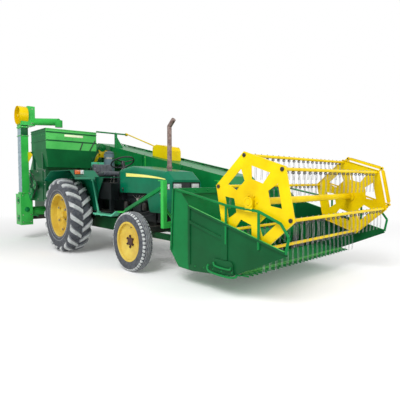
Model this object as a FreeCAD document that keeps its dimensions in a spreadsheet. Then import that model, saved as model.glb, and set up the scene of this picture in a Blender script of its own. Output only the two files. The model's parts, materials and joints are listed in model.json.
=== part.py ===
import FreeCAD, Part
import math
import os
import re
import Sketcher
from FreeCAD import Placement, Rotation, Vector

# A tractor-mounted combine harvester, parked on its four wheels with the header raised.
# Sub-parts are laid out from the middle of the rear axle on the ground: +X forward,
# +Y to the driver's left, +Z up.  Lengths are millimetres and angles degrees.

SIZES = {
    # Where the rear axle and the tractor's centre line stand in the machine's own frame
    "axle_x": -879,
    "line_y": -385.5,
    # Wheels
    "wheelbase": 2070,
    "rear_track": 1444,
    "rear_tyre_r": 658,
    "rear_tyre_w": 380,
    "rear_bead_r": 362,
    "rear_hub_r": 75,
    "rear_dish": -8,
    "front_track": 1340,
    "front_tyre_r": 420,
    "front_tyre_w": 165,
    "front_bead_r": 262,
    "front_hub_r": 52,
    "front_dish": 14,
    "rim_wall": 8,
    "rim_lip": 20,
    "lug_deep": 30,
    "lug_wide": 50,
    "lug_lean": 150,
    # Driveline and front axle
    "box_half": 165,
    "case_over": 45,
    "gearbox_low": 470,
    "gearbox_high": 950,
    "gearbox_rear": -240,
    "gear_case_front": 260,
    "trumpet_r": 80,
    "engine_back": 110,
    "engine_long": 810,
    "engine_half": 175,
    "engine_high": 1080,
    "sump_high": 640,
    "sump_deep": 80,
    "bolster_low": 640,
    "kingpin_y": 500,
    "kingpin_r": 26,
    "sleeve_r": 44,
    "stub_r": 30,
    "axle_low": 530,
    "axle_deep": 70,
    "axle_half_x": 45,
    "run_gap": 6,
    "pin_gap": 0.4,
    # Hood
    "hood_rear": 1100,
    "nose_ahead": 410,
    "hood_half": 280,
    "hood_top_rear": 1470,
    "hood_crest": 1508,
    "hood_crest_x": 1420,
    "hood_brow": 1408,
    "hood_top_front": 1285,
    "hood_side_low": 1080,
    "hood_nose_low": 800,
    "hood_round": 60,
    "sheet": 6,
    "lamp_low": 1140,
    "lamp_high": 1238,
    "lamp_in": 85,
    "lamp_out": 252,
    "slat_pitch": 38,
    "pipe_y": -150,
    "pipe_r": 33,
    "pipe_high": 820,
    # Driver's place
    "floor_high": 760,
    "floor_gap": 27,
    "fender_gap": 62,
    "fender_high": 1450,
    "left_drop": 75,
    "shelf_high": 1330,
    "seat_x": 20,
    "seat_high": 1440,
    "seat_half": 230,
    "seat_long": 430,
    "seat_back": 1610,
    "wheel_x": 720,
    "wheel_high": 1600,
    "wheel_r": 205,
    "wheel_grip_r": 13,
    "wheel_tilt": 26,
    "step_low": 715,
    "step_rear": 780,
    "step_front": 1520,
    "tool_rear": 480,
    "tool_front": 1090,
    "tool_low": 965,
    "tool_high": 1240,
    # Carrying frame
    "beam_y": 240,
    "beam_wide": 60,
    "beam_low": 430,
    "beam_deep": 80,
    "beam_web": 210,
    "beam_rear": -2550,
    "hitch_thick": 20,
    "hitch_hole_r": 16.5,
    "portal_x": 2600,
    "portal_tube": 60,
    "portal_y": 530,
    "portal_sill": 645,
    "portal_high": 1280,
    # Threshing unit
    "drum_front": -800,
    "drum_rear": -1750,
    "drum_low": 860,
    "drum_high": 1500,
    "drum_right": -800,
    "drum_left": 1290,
    "fan_r": 160,
    "shoe_right": -450,
    "shoe_left": 950,
    "shoe_rear": -2500,
    "straw_rear": -2900,
    "straw_high": 1850,
    # Grain tank
    "tank_front": -600,
    "tank_rear": -1400,
    "tank_right": -860,
    "tank_left": 170,
    "tank_high": 2270,
    "tank_break": 1880,
    "tank_low": 1530,
    "bead_tall": 16,
    "bead_proud": 7,
    # Grain elevator
    "leg_front": -1800,
    "leg_deep": 230,
    "leg_right": -935,
    "leg_wide": 145,
    "leg_low": 360,
    "leg_high": 2450,
    "boot_high": 990,
    "head_high": 2860,
    "head_r": 195,
    "head_left": -650,
    "spout_r": 75,
    "spout_high": 2545,
    "spout_x": -1290,
    "spout_y": -330,
    # Feeder conveyor, hinged at its rear shaft
    "pivot_x": -1300,
    "pivot_high": 1970,
    "shaft_r": 30,
    "bearing_r": 62,
    "feeder_right": 600,
    "feeder_wide": 650,
    "feeder_deep": 340,
    "feeder_nose_x": 2670,
    "feeder_nose_high": 1340,
    "feeder_slope": 0.1985,
    "throat_x": 2450,
    "mouth_x": 2880,
    "mouth_low": 400,
    # Drive to the reel, carried on the conveyor
    "arm_x": -620,
    "arm_high": 2290,
    "arm_r": 16,
    "guard_rear": 530,
    "guard_front": 1120,
    "guard_right": 790,
    "guard_left": 1020,
    "guard_high": 1975,
    # Header
    "header_right": -600,
    "header_left": 1756,
    "back_top_x": 2930,
    "back_top": 1110,
    "back_low_x": 2850,
    "back_low": 380,
    "trough_x": 3190,
    "trough_low": 210,
    "pan_front_x": 3600,
    "pan_front": 300,
    "knife_x": 3985,
    "knife_high": 284,
    "end_thick": 28,
    "end_skin": 6,
    "rib_wide": 36,
    "tip_x": 4570,
    "tip_high": 590,
    "rail_r": 14,
    "rail_high": 1010,
    "finger_pitch": 76.2,
    "finger_long": 95,
    # Auger
    "auger_x": 3225,
    "auger_high": 480,
    "auger_r": 240,
    "auger_tube_r": 110,
    "flight_pitch": 420,
    "flight_thick": 6,
    "finger_r": 8,
    # Reel
    "reel_x": 4118,
    "reel_high": 1056,
    "reel_r": 490,
    "reel_over": 40,
    "reel_right": -548,
    "reel_left": 1640,
    "reel_plate": 8,
    "reel_flange": 22,
    "reel_shaft_r": 25,
    "reel_tube_r": 38,
    "bar_r": 17,
    "bar_start": 101.7,
    "tine_long": 255,
    "tine_pitch": 105,
    "tine_gap": 24,
    "tine_thick": 6,
    "crank_x": 55,
    "crank_high": 55,
    "crank_pin_r": 7,
    "spider_gap": 20,
    "spider_thick": 8,
    "carrier_r": 119,
    # Lift cylinders
    "foot_x": 1300,
    "foot_high": 470,
    "eye_x": 1750,
    "eye_high": 1090,
    "eye_hole_r": 21,
    "pin_r": 14,
    "ram_r": 38,
    "rod_r": 20,
    "ram_y_in": 665,
    "ram_y_out": 1185,
    "ear_thick": 12,
}

doc = FreeCAD.newDocument("combine_harvester")
sheet = doc.addObject("Spreadsheet::Sheet", "Sizes")
for row, (alias, size) in enumerate(SIZES.items(), 1):
    sheet.set(f"A{row}", alias)
    sheet.set(f"B{row}", str(size))
    sheet.setAlias(f"B{row}", alias)
doc.recompute()

NODES = []
SPOKEN = re.compile(r"[a-z]\w*")
LUGS = 18            # on each half of a rear tyre
REEL_SIDES = 6       # bars on the reel, and corners of its end plates
FLIGHT_STEPS = 14    # flat facets in one turn of the auger's flight


PLACES = {           # worked out from the sizes, and used by name in the same way
    "engine_front": "wheelbase - engine_back",
    "engine_rear": "wheelbase - engine_back - engine_long",
    "nose": "wheelbase + nose_ahead",
    "floor_half": "rear_track / 2 - rear_tyre_w / 2 - floor_gap",
    "fender_in": "rear_track / 2 - rear_tyre_w / 2 - fender_gap",
    "fender_out": "rear_track / 2 + rear_tyre_w / 2 - 7",
    "feeder_left": "feeder_right + feeder_wide",
}


def formula(text):
    """An expression in which each size's name points at its cell."""
    def spelt(match):
        name = match[0]
        if name in PLACES:
            return f"({formula(PLACES[name])})"
        return "Sizes." + name if name in SIZES else name
    return SPOKEN.sub(spelt, str(text))


def bind(thing, prop, text):
    thing.setExpression(prop, formula(text))


def value(text):
    """The number that an expression gives now."""
    return float(sheet.evalExpression(formula(text)))


def stand(thing, x="0", y="0", z="0"):
    """Put a piece's own origin at a spot of the machine."""
    bind(thing, "Placement.Base.x", f"axle_x + ({x})")
    bind(thing, "Placement.Base.y", f"line_y + ({y})")
    bind(thing, "Placement.Base.z", f"{z}")
    return thing


def block(x, y, z):
    """A box between pairs of limits."""
    box = doc.addObject("Part::Box", "block")
    for prop, (low, high) in (("Length", x), ("Width", y), ("Height", z)):
        bind(box, prop, f"({high}) - ({low})")
    return stand(box, x[0], y[0], z[0])


TURN = {"z": None, "y": (Vector(1, 0, 0), -90), "x": (Vector(0, 1, 0), 90)}


def rod(axis, spot, radius, length):
    """A cylinder along one axis, from a spot on."""
    bar = doc.addObject("Part::Cylinder", "rod")
    bind(bar, "Radius", radius)
    bind(bar, "Height", length)
    if TURN[axis]:
        bar.Placement = Placement(Vector(), Rotation(*TURN[axis]))
    return stand(bar, *spot)


def cone(axis, spot, start_r, end_r, length):
    """A taper along one axis, from a spot on."""
    taper = doc.addObject("Part::Cone", "cone")
    bind(taper, "Radius1", start_r)
    bind(taper, "Radius2", end_r)
    bind(taper, "Height", length)
    if TURN[axis]:
        taper.Placement = Placement(Vector(), Rotation(*TURN[axis]))
    return stand(taper, *spot)


def strut(start, end, radius):
    """A round bar between two spots."""
    a = Vector(*[value(v) for v in start])
    b = Vector(*[value(v) for v in end])
    bar = doc.addObject("Part::Cylinder", "strut")
    bind(bar, "Radius", radius)
    bar.Height = (b - a).Length
    bar.Placement = Placement(Vector(), Rotation(Vector(0, 0, 1), b - a))
    return stand(bar, *start)


def hopper(low, high, z):
    """A four-sided taper: the low and high rectangles are ((x0, x1), (y0, y1))."""
    taper = doc.addObject("Part::Wedge", "hopper")
    (x0, x1), (y0, y1) = low
    (u0, u1), (v0, v1) = high
    for prop, text in (("Xmin", x0), ("Xmax", x1), ("X2min", u0), ("X2max", u1),
                       ("Zmin", f"-({y1})"), ("Zmax", f"-({y0})"),
                       ("Z2min", f"-({v1})"), ("Z2max", f"-({v0})"),
                       ("Ymin", z[0]), ("Ymax", z[1])):
        bind(taper, prop, text)
    taper.Placement = Placement(Vector(), Rotation(Vector(1, 0, 0), 90))
    return stand(taper)


def origin_part(body, role):
    return [f for f in body.Origin.OriginFeatures if f.Role == role][0]


def outline(body, plane, points):
    """A closed sketch on one of the body's own planes, each corner held by two formulas."""
    sketch = body.newObject("Sketcher::SketchObject", "outline")
    sketch.AttachmentSupport = [(origin_part(body, plane + "_Plane"), "")]
    sketch.MapMode = "FlatFace"
    spots = [Vector(value(p[0]), value(p[1]), 0) for p in points]
    count = len(spots)
    for i in range(count):
        sketch.addGeometry(Part.LineSegment(spots[i], spots[(i + 1) % count]), False)
    for i in range(count):
        sketch.addConstraint(Sketcher.Constraint("Coincident", i, 2, (i + 1) % count, 1))
    for i, spot in enumerate(spots):
        for kind, place, now in (("DistanceX", 0, spot.x), ("DistanceY", 1, spot.y)):
            held = sketch.addConstraint(Sketcher.Constraint(kind, -1, 1, i, 1, now))
            sketch.setExpression(f"Constraints[{held}]", formula(points[i][place]))
    return sketch


def prism(plane, points, start, thick):
    """A pad of an outline: on XZ it grows along +Y, on YZ along +X and on XY along +Z.

    A corner's third value rounds it.
    """
    body = doc.addObject("PartDesign::Body", "prism")
    sketch = outline(body, plane, points)
    sign = "-" if plane == "XZ" else ""
    bind(sketch, ".AttachmentOffset.Base.z", f"{sign}({start})")
    pad = body.newObject("PartDesign::Pad", "pad")
    pad.Profile = sketch
    bind(pad, "Length", thick)
    pad.Reversed = plane == "XZ"
    doc.recompute()
    across_plane = {"XZ": (0, 2), "YZ": (1, 2), "XY": (0, 1)}[plane]
    for radius in sorted({p[2] for p in points if len(p) > 2}):
        spots = [(value(p[0]), value(p[1])) for p in points if p[2:] == (radius,)]

        def at_corner(*ends):
            flat = [tuple(end[i] for i in across_plane) for end in ends]
            return math.dist(*flat) < 0.01 and any(math.dist(flat[0], spot) < 0.01 for spot in spots)
        rounded(body, radius, at_corner)
    return stand(body)


def rounded(body, radius, pick):
    """Fillet the straight edges whose two ends a test picks."""
    base = body.Tip
    names = [f"Edge{number}" for number, edge in enumerate(base.Shape.Edges, 1)
             if len(edge.Vertexes) == 2 and pick(*[tuple(v.Point) for v in edge.Vertexes])]
    fillet = body.newObject("PartDesign::Fillet", "round")
    fillet.Base = (base, names)
    bind(fillet, "Radius", radius)
    doc.recompute()


def turned(points, spot):
    """A ring or disc about an axis along Y, from (y, radius) corners about its spot."""
    body = doc.addObject("PartDesign::Body", "turned")
    sketch = outline(body, "YZ", points)
    spin = body.newObject("PartDesign::Revolution", "spin")
    spin.Profile = sketch
    spin.ReferenceAxis = (sketch, ["H_Axis"])
    return stand(body, *spot)


def repeated(body, pitch, count):
    """Repeat a body's last pad along +Y."""
    row_of = body.newObject("PartDesign::LinearPattern", "row")
    row_of.Originals = [body.Tip]
    row_of.Direction = (origin_part(body, "Y_Axis"), [""])
    row_of.Occurrences = count
    bind(row_of, "Length", f"{pitch} * {count - 1}")
    body.Tip = row_of
    return body


def fuse(*pieces):
    if len(pieces) == 1:
        return pieces[0]
    joined = doc.addObject("Part::MultiFuse", "joined")
    joined.Shapes = list(pieces)
    return joined


def cut(base, *tools):
    left = doc.addObject("Part::Cut", "cut")
    left.Base = base
    left.Tool = fuse(*tools)
    return left


def node(label, *pieces):
    """Name a finished sub-part; its file has the same name."""
    whole = fuse(*pieces)
    whole.Label = label
    NODES.append(whole)
    return whole


def side_name(side):
    return "left" if side > 0 else "right"


def across(limit):
    """Both sides of the centre line."""
    return (f"-({limit})", limit)


def beside(side, inner, outer):
    """The y limits of something on one side, from its inner and outer distances."""
    return (inner, outer) if side > 0 else (f"-({outer})", f"-({inner})")


# ---------------------------------------------------------------- wheels

def lug_ring(body, side, turn):
    """One half's slanted lugs: a pad out of the carcass, repeated round the axle."""
    y_out, y_in = f"{side} * rear_tyre_w * 0.47", f"-{side} * rear_tyre_w * 0.03"
    sketch = outline(body, "XY", [("-(lug_lean + lug_wide) / 2", y_out),
                                  ("-(lug_lean - lug_wide) / 2", y_out),
                                  ("(lug_lean + lug_wide) / 2", y_in),
                                  ("(lug_lean - lug_wide) / 2", y_in)])
    top = value("sqrt(rear_tyre_r ^ 2 - ((lug_lean + lug_wide) / 2) ^ 2)")
    foot = value("rear_bead_r + (rear_tyre_r - rear_bead_r) * 0.62 + 8")
    spin = Rotation(Vector(0, 1, 0), turn)
    sketch.AttachmentOffset = Placement(spin.multVec(Vector(0, 0, foot)), spin)
    lug = body.newObject("PartDesign::Pad", "lug")
    lug.Profile = sketch
    lug.Length = top - foot
    ring = body.newObject("PartDesign::PolarPattern", "lugs")
    ring.Originals = [lug]
    ring.Axis = (origin_part(body, "Y_Axis"), [""])
    ring.Angle = 360
    ring.Occurrences = LUGS
    body.Tip = ring


def tyre(end, side, spot):
    width, radius, bead = f"{end}_tyre_w", f"{end}_tyre_r", f"{end}_bead_r"
    tread = f"{radius} - lug_deep" if end == "rear" else radius
    half = [(f"{width} * 0.36", bead), (f"{width} / 2", f"{bead} + ({radius} - {bead}) * 0.62"),
            (f"{width} * 0.43", tread)]
    carcass = turned(half + [(f"-({y})", r) for y, r in reversed(half)], spot)
    if end == "rear":
        lug_ring(carcass, 1, 0)
        lug_ring(carcass, -1, 180 / LUGS)
    node(f"tyre_{end}_{side_name(side)}", carcass)


def rim(end, side, spot):
    """A drop-centre rim with its dished disc and hub, turned in one piece."""
    width, bead, hub, dish = f"{end}_tyre_w", f"{end}_bead_r", f"{end}_hub_r", f"{end}_dish"
    seat, lip = f"{width} * 0.4", f"({width} * 0.4 + rim_wall)"
    face, corner = f"({dish} + rim_wall)", f"({dish} + {width} * 0.13)"
    line = [("-" + lip, f"{bead} - rim_wall"), ("-" + lip, f"{bead} + rim_lip"),
            (f"-({seat})", f"{bead} + rim_lip"), (f"-({seat})", bead), (seat, bead),
            (seat, f"{bead} + rim_lip"), (lip, f"{bead} + rim_lip"), (lip, f"{bead} - rim_wall"),
            (f"{corner} + rim_wall", f"{bead} - rim_wall"), (face, f"{bead} * 0.6"),
            (face, hub), (f"{width} * 0.24", f"{hub} * 0.8"), (f"{width} * 0.24", "0"),
            (f"-{width} * 0.14", "0"), (f"-{width} * 0.14", hub), (dish, hub),
            (dish, f"{bead} * 0.6"), (corner, f"{bead} - rim_wall")]
    node(f"rim_{end}_{side_name(side)}", turned([(f"{side} * ({y})", r) for y, r in line], spot))


def wheels():
    for side in (-1, 1):
        rear = ("0", f"{side} * rear_track / 2", "rear_tyre_r")
        front = ("wheelbase", f"{side} * front_track / 2", "front_tyre_r")
        tyre("rear", side, rear)
        rim("rear", side, rear)
        tyre("front", side, front)
        rim("front", side, front)


# ---------------------------------------------------------------- tractor

def transmission():
    gearbox = block(("gear_case_front", "engine_rear"), across("box_half"), ("gearbox_low", "gearbox_high"))
    case_half = "box_half + case_over"
    gear_case = block(("gearbox_rear", "gear_case_front"), across(case_half),
                      ("gearbox_low - 20", "gearbox_high + 30"))
    reach = "(rear_track / 2 - rear_tyre_w * 0.14 - run_gap)"
    pieces = []
    for side in (-1, 1):
        for radius, start, end in (("trumpet_r", case_half, reach),
                                   ("trumpet_r + 35", case_half, f"{case_half} + 60"),
                                   ("trumpet_r + 30", f"{reach} - 40", reach)):
            low, high = beside(side, start, end)
            pieces.append(rod("y", ("0", low, "rear_tyre_r"), radius, f"({high}) - ({low})"))
    lid = block(("gear_case_front + 60", "hood_rear - 210"), across("box_half - 40"),
                ("gearbox_high", "gearbox_high + 22"))
    node("transmission", gearbox, gear_case, lid, *pieces)


def engine():
    """A plain block at the engine's place and size, with what hangs on its open right side."""
    body = block(("engine_rear", "engine_front"), across("engine_half"), ("sump_high", "engine_high"))
    sump = block(("engine_rear + 60", "engine_front - 60"), across("engine_half * 0.7"),
                 ("sump_high - sump_deep", "sump_high"))
    rocker = block(("engine_rear + 50", "engine_front - 90"), across("engine_half * 0.45"),
                   ("engine_high", "engine_high + 110"))
    out = "-engine_half - 55"
    oil_filter = rod("z", ("engine_rear + 150", out, "sump_high + 40"), "46", "150")
    filter_foot = block(("engine_rear + 105", "engine_rear + 195"),
                        ("-engine_half - 95", "-engine_half"), ("sump_high + 190", "sump_high + 225"))
    pump = block(("engine_rear + 300", "engine_rear + 520"), ("-engine_half - 80", "-engine_half"),
                 ("sump_high + 150", "sump_high + 260"))
    injectors = [rod("z", (f"engine_rear + {330 + 52 * i}", "-engine_half - 40", "sump_high + 260"),
                     "16", "70") for i in range(4)]
    dynamo = rod("x", ("engine_front - 200", "-engine_half - 30", "engine_high - 90"), "62", "170")
    manifold = rod("x", ("engine_rear + 90", "-engine_half - 20", "engine_high - 40"), "34", "460")
    pulley = rod("x", ("engine_front", "0", "sump_high + 130"), "90", "34")
    fan_pulley = rod("x", ("engine_front", "0", "engine_high - 70"), "70", "34")
    node("engine_block", body, sump, rocker, oil_filter, filter_foot, pump, *injectors, dynamo,
         manifold, pulley, fan_pulley)
    bolster = block(("engine_front + 40", "nose - 60"), across("box_half"),
                    ("bolster_low", "hood_nose_low - 20"))
    bolster_foot = block(("engine_front", "engine_front + 40"), across("box_half"),
                         ("bolster_low", "sump_high + 30"))
    core = block(("nose - 240", "nose - 170"), across("hood_half - 50"),
                 ("hood_nose_low - 20", "hood_top_front - 60"))
    node("front_support", bolster, bolster_foot, core)


def front_axle():
    beam_box = block(("wheelbase - axle_half_x", "wheelbase + axle_half_x"), across("kingpin_y"),
                     ("axle_low", "axle_low + axle_deep"))
    saddle = block(("wheelbase - 2 * axle_half_x", "wheelbase + 2 * axle_half_x"), across("70"),
                   ("axle_low + axle_deep", "bolster_low"))
    sleeves = [rod("z", ("wheelbase", f"{side} * kingpin_y", "axle_low - 40"), "sleeve_r",
                   "axle_deep + 80") for side in (-1, 1)]
    holes = [rod("z", ("wheelbase", f"{side} * kingpin_y", "axle_low - 60"), "kingpin_r + pin_gap",
                 "axle_deep + 120") for side in (-1, 1)]
    node("front_axle", cut(fuse(beam_box, saddle, *sleeves), *holes))


def knuckles():
    for side in (-1, 1):
        y = f"{side} * kingpin_y"
        pin = rod("z", ("wheelbase", y, "front_tyre_r - 40"), "kingpin_r",
                  "axle_low + axle_deep + 75 - front_tyre_r")
        foot = rod("z", ("wheelbase", y, "front_tyre_r - 45"), "sleeve_r",
                   "axle_low - 46 - front_tyre_r + 45")
        low, high = beside(side, "kingpin_y", "front_track / 2 - front_tyre_w * 0.14 - run_gap")
        stub = rod("y", ("wheelbase", low, "front_tyre_r"), "stub_r", f"({high}) - ({low})")
        arm = block(("wheelbase - 170", "wheelbase + 30"), (f"{y} - 25", f"{y} + 25"),
                    ("axle_low + axle_deep + 46", "axle_low + axle_deep + 66"))
        node(f"knuckle_{side_name(side)}", pin, foot, stub, arm)


def hood_form(wall, low, half):
    """The hood's side line padded across, its long top edges rounded."""
    line = [(f"hood_rear - {low}", f"hood_side_low - {low}"),
            (f"hood_rear - {low}", f"hood_top_rear - {wall}"),
            ("hood_crest_x", f"hood_crest - {wall}"), ("nose - 150", f"hood_brow - {wall}"),
            (f"nose - {wall}", f"hood_top_front - {wall}"),
            (f"nose - {wall}", f"hood_nose_low - {low}"),
            ("nose - 530", f"hood_nose_low - {low}"), ("nose - 610", f"hood_side_low - {low}")]
    if wall == "0":
        line[5] = line[5] + ("40",)
        line[6] = line[6] + ("60",)
    body = prism("XZ", line, f"-({half})", f"2 * ({half})")
    flank, floor = value(half), value("hood_top_front") - 60
    rounded(body, f"hood_round - {wall}",
            lambda a, b: abs(abs(a[1]) - flank) < 0.01 and abs(a[1] - b[1]) < 0.01
            and a[2] > floor and b[2] > floor and abs(a[0] - b[0]) > 1)
    return body


def lamp_limits():
    """The y and z limits of each headlamp."""
    return [(beside(side, "lamp_in", "lamp_out"), ("lamp_low", "lamp_high")) for side in (-1, 1)]


def hood():
    shell = hood_form("0", "0", "hood_half")
    inner = hood_form("sheet", "120", "hood_half - sheet")
    mouth = block(("nose - 40", "nose + 20"), across("hood_half - 20"),
                  ("hood_nose_low + 30", "hood_top_front - 35"))
    pipe_hole = rod("z", ("nose - 210", "pipe_y", "hood_top_front - 60"), "pipe_r + 3", "250")
    node("hood", cut(shell, inner, mouth, pipe_hole))
    plate = block(("nose - 22", "nose - 14"), across("hood_half - 21"),
                  ("hood_nose_low + 31", "hood_top_front - 36"))
    windows = [block(("nose - 40", "nose + 20"), limits[0], limits[1]) for limits in lamp_limits()]
    low_mouth = block(("nose - 40", "nose + 20"), across("hood_half - 50"),
                      ("hood_nose_low + 60", "lamp_low - 40"))
    slats = [block(("nose - 30", "nose - 10"), across("hood_half - 50"),
                   (f"hood_nose_low + 78 + slat_pitch * {i}", f"hood_nose_low + 88 + slat_pitch * {i}"))
             for i in range(6)]
    node("grille", cut(plate, *windows, low_mouth), *slats)


def exhaust():
    x = "nose - 210"
    pipe = rod("z", (x, "pipe_y", "hood_top_front - 40"), "pipe_r", "pipe_high")
    tip = strut((x, "pipe_y", "hood_top_front - 50 + pipe_high"),
                (f"{x} + 100", "pipe_y", "hood_top_front + 40 + pipe_high"), "pipe_r")
    collar = rod("z", (x, "pipe_y", "hood_brow + 45"), "pipe_r + 9", "30")
    node("exhaust", pipe, tip, collar)


def down_column(far):
    """A spot on the steering column's axis, so far below the steering wheel's centre."""
    return (f"wheel_x + ({far}) * sin(wheel_tilt)", "0", f"wheel_high - ({far}) * cos(wheel_tilt)")


def console():
    body = prism("XZ", [("hood_rear - 160", "gearbox_high"),
                        ("hood_rear - 200", "hood_top_rear - 130", "40"),
                        ("hood_rear - 90", "hood_top_rear - 20", "30"),
                        ("hood_rear - 6", "hood_top_rear - 20"), ("hood_rear - 6", "gearbox_high")],
                 "60 - hood_half", "2 * (hood_half - 60)")
    column = strut(down_column("480"), down_column("62"), "28")
    boot = strut(down_column("480"), down_column("330"), "52")
    node("console", body, column, boot)
    tilt = Rotation(Vector(0, 1, 0), -value("wheel_tilt"))
    grip = doc.addObject("PartDesign::Body", "grip")
    section = [(f"wheel_r + wheel_grip_r * {a}", f"wheel_grip_r * {b}")
               for a, b in ((1, 0), (0.3, 0.95), (-0.8, 0.6), (-0.8, -0.6), (0.3, -0.95))]
    sketch = outline(grip, "XZ", section)
    spin = grip.newObject("PartDesign::Revolution", "spin")
    spin.Profile = sketch
    spin.ReferenceAxis = (sketch, ["V_Axis"])
    grip.Placement = Placement(Vector(), tilt)
    stand(grip, "wheel_x", "0", "wheel_high")
    spokes = []
    for angle in (60, 180, 300):
        spoke = doc.addObject("Part::Box", "spoke")
        bind(spoke, "Length", "wheel_r - 4")
        bind(spoke, "Width", "22")
        bind(spoke, "Height", "8")
        spoke.Placement = Placement(Vector(), tilt * Rotation(Vector(0, 0, 1), angle))
        shift = spoke.Placement.Rotation.multVec(Vector(0, -11, -4))
        spokes.append(stand(spoke, f"wheel_x + {shift.x}", f"{shift.y}", f"wheel_high + {shift.z}"))
    hub = strut(down_column("60"), down_column("-14"), "34")
    node("steering_wheel", grip, *spokes, hub)


def seat():
    base = [("seat_x", "seat_high - 110"), ("seat_x", "seat_high - 20", "15"),
            ("seat_x + seat_long - 60", "seat_high", "30"), ("seat_x + seat_long", "seat_high - 40", "30"),
            ("seat_x + seat_long", "seat_high - 110", "20")]
    cushion = prism("XZ", base, "-seat_half", "2 * seat_half")
    back = prism("XZ", [("seat_x - 2", "seat_high - 90"), ("seat_x - 42", "seat_back", "25"),
                        ("seat_x - 110", "seat_back", "25"), ("seat_x - 82", "seat_high - 90")],
                 "-seat_half", "2 * seat_half")
    node("seat", cushion, back)


def platform():
    """The foot boards and their hangers, the seat's pedestal and shell, and the tool box."""
    pieces = []
    for side in (-1, 1):
        pieces.append(block(("320", "hood_rear"), beside(side, "box_half + 10", "floor_half"),
                            ("floor_high - 20", "floor_high")))
        pieces.append(block(("400", "460"), beside(side, "box_half", "box_half + case_over + 40"),
                            ("floor_high - 120", "floor_high - 20")))
        pieces.append(block(("900", "960"), beside(side, "box_half", "box_half + case_over + 40"),
                            ("floor_high - 60", "floor_high - 20")))
    pedestal = block(("seat_x + 60", "seat_x + 340"), across("140"), ("gearbox_high + 30", "seat_high - 131"))
    pan = block(("seat_x - 40", "seat_x + seat_long - 20"), across("seat_half - 20"),
                ("seat_high - 131", "seat_high - 111"))
    riser = block(("seat_x - 105", "seat_x - 40"), across("seat_half - 60"),
                  ("seat_high - 131", "seat_high - 91"))
    tool_box = prism("XZ", [("tool_rear", "tool_low"), ("tool_rear", "tool_high", "25"),
                            ("tool_front", "tool_high", "25"), ("tool_front", "tool_low")],
                     "25 - fender_in", "140")
    tool_post = block(("tool_rear + 60", "tool_rear + 120"), ("55 - fender_in", "115 - fender_in"),
                      ("floor_high", "tool_low"))
    front_post = block(("tool_front - 120", "tool_front - 60"), ("55 - fender_in", "115 - fender_in"),
                       ("floor_high", "tool_low"))
    lever = strut(("seat_x + 300", "seat_half + 40", "gearbox_high + 30"),
                  ("seat_x + 380", "seat_half + 60", "seat_high + 60"), "9")
    lever_foot = block(("seat_x + 270", "seat_x + 330"), ("box_half", "seat_half + 60"),
                       ("gearbox_high - 10", "gearbox_high + 32"))
    node("platform", *pieces, pedestal, pan, riser, tool_box, tool_post, front_post, lever, lever_foot,
         *oil_tank())


def right_step():
    """The step along the right side, turned up at its front end, and its slanted grab post."""
    top = "step_low + 24"
    outer = "floor_half + 110"
    board = prism("XZ", [("step_rear", "step_low"), ("step_rear", top), ("step_front - 140", top, "60"),
                         ("step_front", "step_low + 92"), ("step_front", "step_low + 72"),
                         ("step_front - 130", "step_low", "60")], f"-({outer})", "110")
    hangers = [block((x, f"{x} + 30"), (f"-({outer})", "-floor_half + 40"),
                     ("step_low - 12", "step_low + 2")) for x in ("step_rear + 60", "hood_rear - 60")]
    stays = [block((x, f"{x} + 30"), ("-floor_half + 20", "-floor_half + 40"),
                   ("step_low - 12", "floor_high - 20")) for x in ("step_rear + 60", "hood_rear - 60")]
    post = strut(("step_rear + 30", "-floor_half - 20", top),
                 ("step_rear - 170", "-floor_half - 20", "shelf_high - 30"), "17")
    foot = block(("step_rear + 5", "step_rear + 60"), ("-floor_half - 45", "-floor_half"),
                 (top, f"{top} + 20"))
    head = block(("step_rear - 195", "step_rear - 140"), ("-floor_half - 40", "-floor_half"),
                 ("shelf_high - 60", "shelf_high - sheet"))
    node("right_step", board, *hangers, *stays, post, foot, head)


def fender_wall(side, line):
    low, _ = beside(side, "fender_in", "fender_in + sheet")
    return prism("XZ", line, low, "sheet")


def fenders():
    """The right one carries a shelf beside the driver; the left one ducks under the conveyor."""
    wide = "fender_out - fender_in"
    top = [("-630", "fender_high - 180"), ("-270", "fender_high"), ("560", "fender_high"),
           ("750", "shelf_high"), ("1440", "shelf_high")]
    under = [(x, f"{z} - sheet") for x, z in reversed(top)]
    cover = prism("XZ", top + under, "-fender_out", wide)
    lip = prism("XZ", [("750", "shelf_high - 34"), ("750", "shelf_high - sheet / 2"),
                       ("1440", "shelf_high - sheet / 2"), ("1440", "shelf_high - 34")],
                "-fender_out", "sheet")
    wall = fender_wall(-1, [("-500", "gearbox_high"), ("-560", "fender_high - 180"),
                            ("-262", "fender_high - sheet / 2"), ("556", "fender_high - sheet / 2"),
                            ("746", "shelf_high - sheet / 2"), ("900", "shelf_high - sheet / 2"),
                            ("720", "floor_high + 300"), ("620", "floor_high"), ("330", "floor_high")])
    node("fender_right", cover, lip, wall)
    peak = "fender_high - left_drop"
    low = [("-600", f"{peak} - 155"), ("-300", peak), ("250", peak), ("550", f"{peak} - 155")]
    under = [(x, f"{z} - sheet") for x, z in reversed(low)]
    cover = prism("XZ", low + under, "fender_in", wide)
    wall = fender_wall(1, [("-500", "gearbox_high"), ("-560", f"{peak} - 138"),
                           ("-298", f"{peak} - sheet / 2"), ("248", f"{peak} - sheet / 2"),
                           ("548", f"{peak} - 157"), ("620", "floor_high"), ("330", "floor_high")])
    node("fender_left", cover, wall)
    housing = block(("765", "825"), ("-fender_out + 40", "-fender_out + 150"),
                    ("shelf_high", "shelf_high + 95"))
    heads = [block(("nose - 40", "nose - 4"), *limits) for limits in lamp_limits()]
    node("lamps", housing, *heads)


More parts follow.
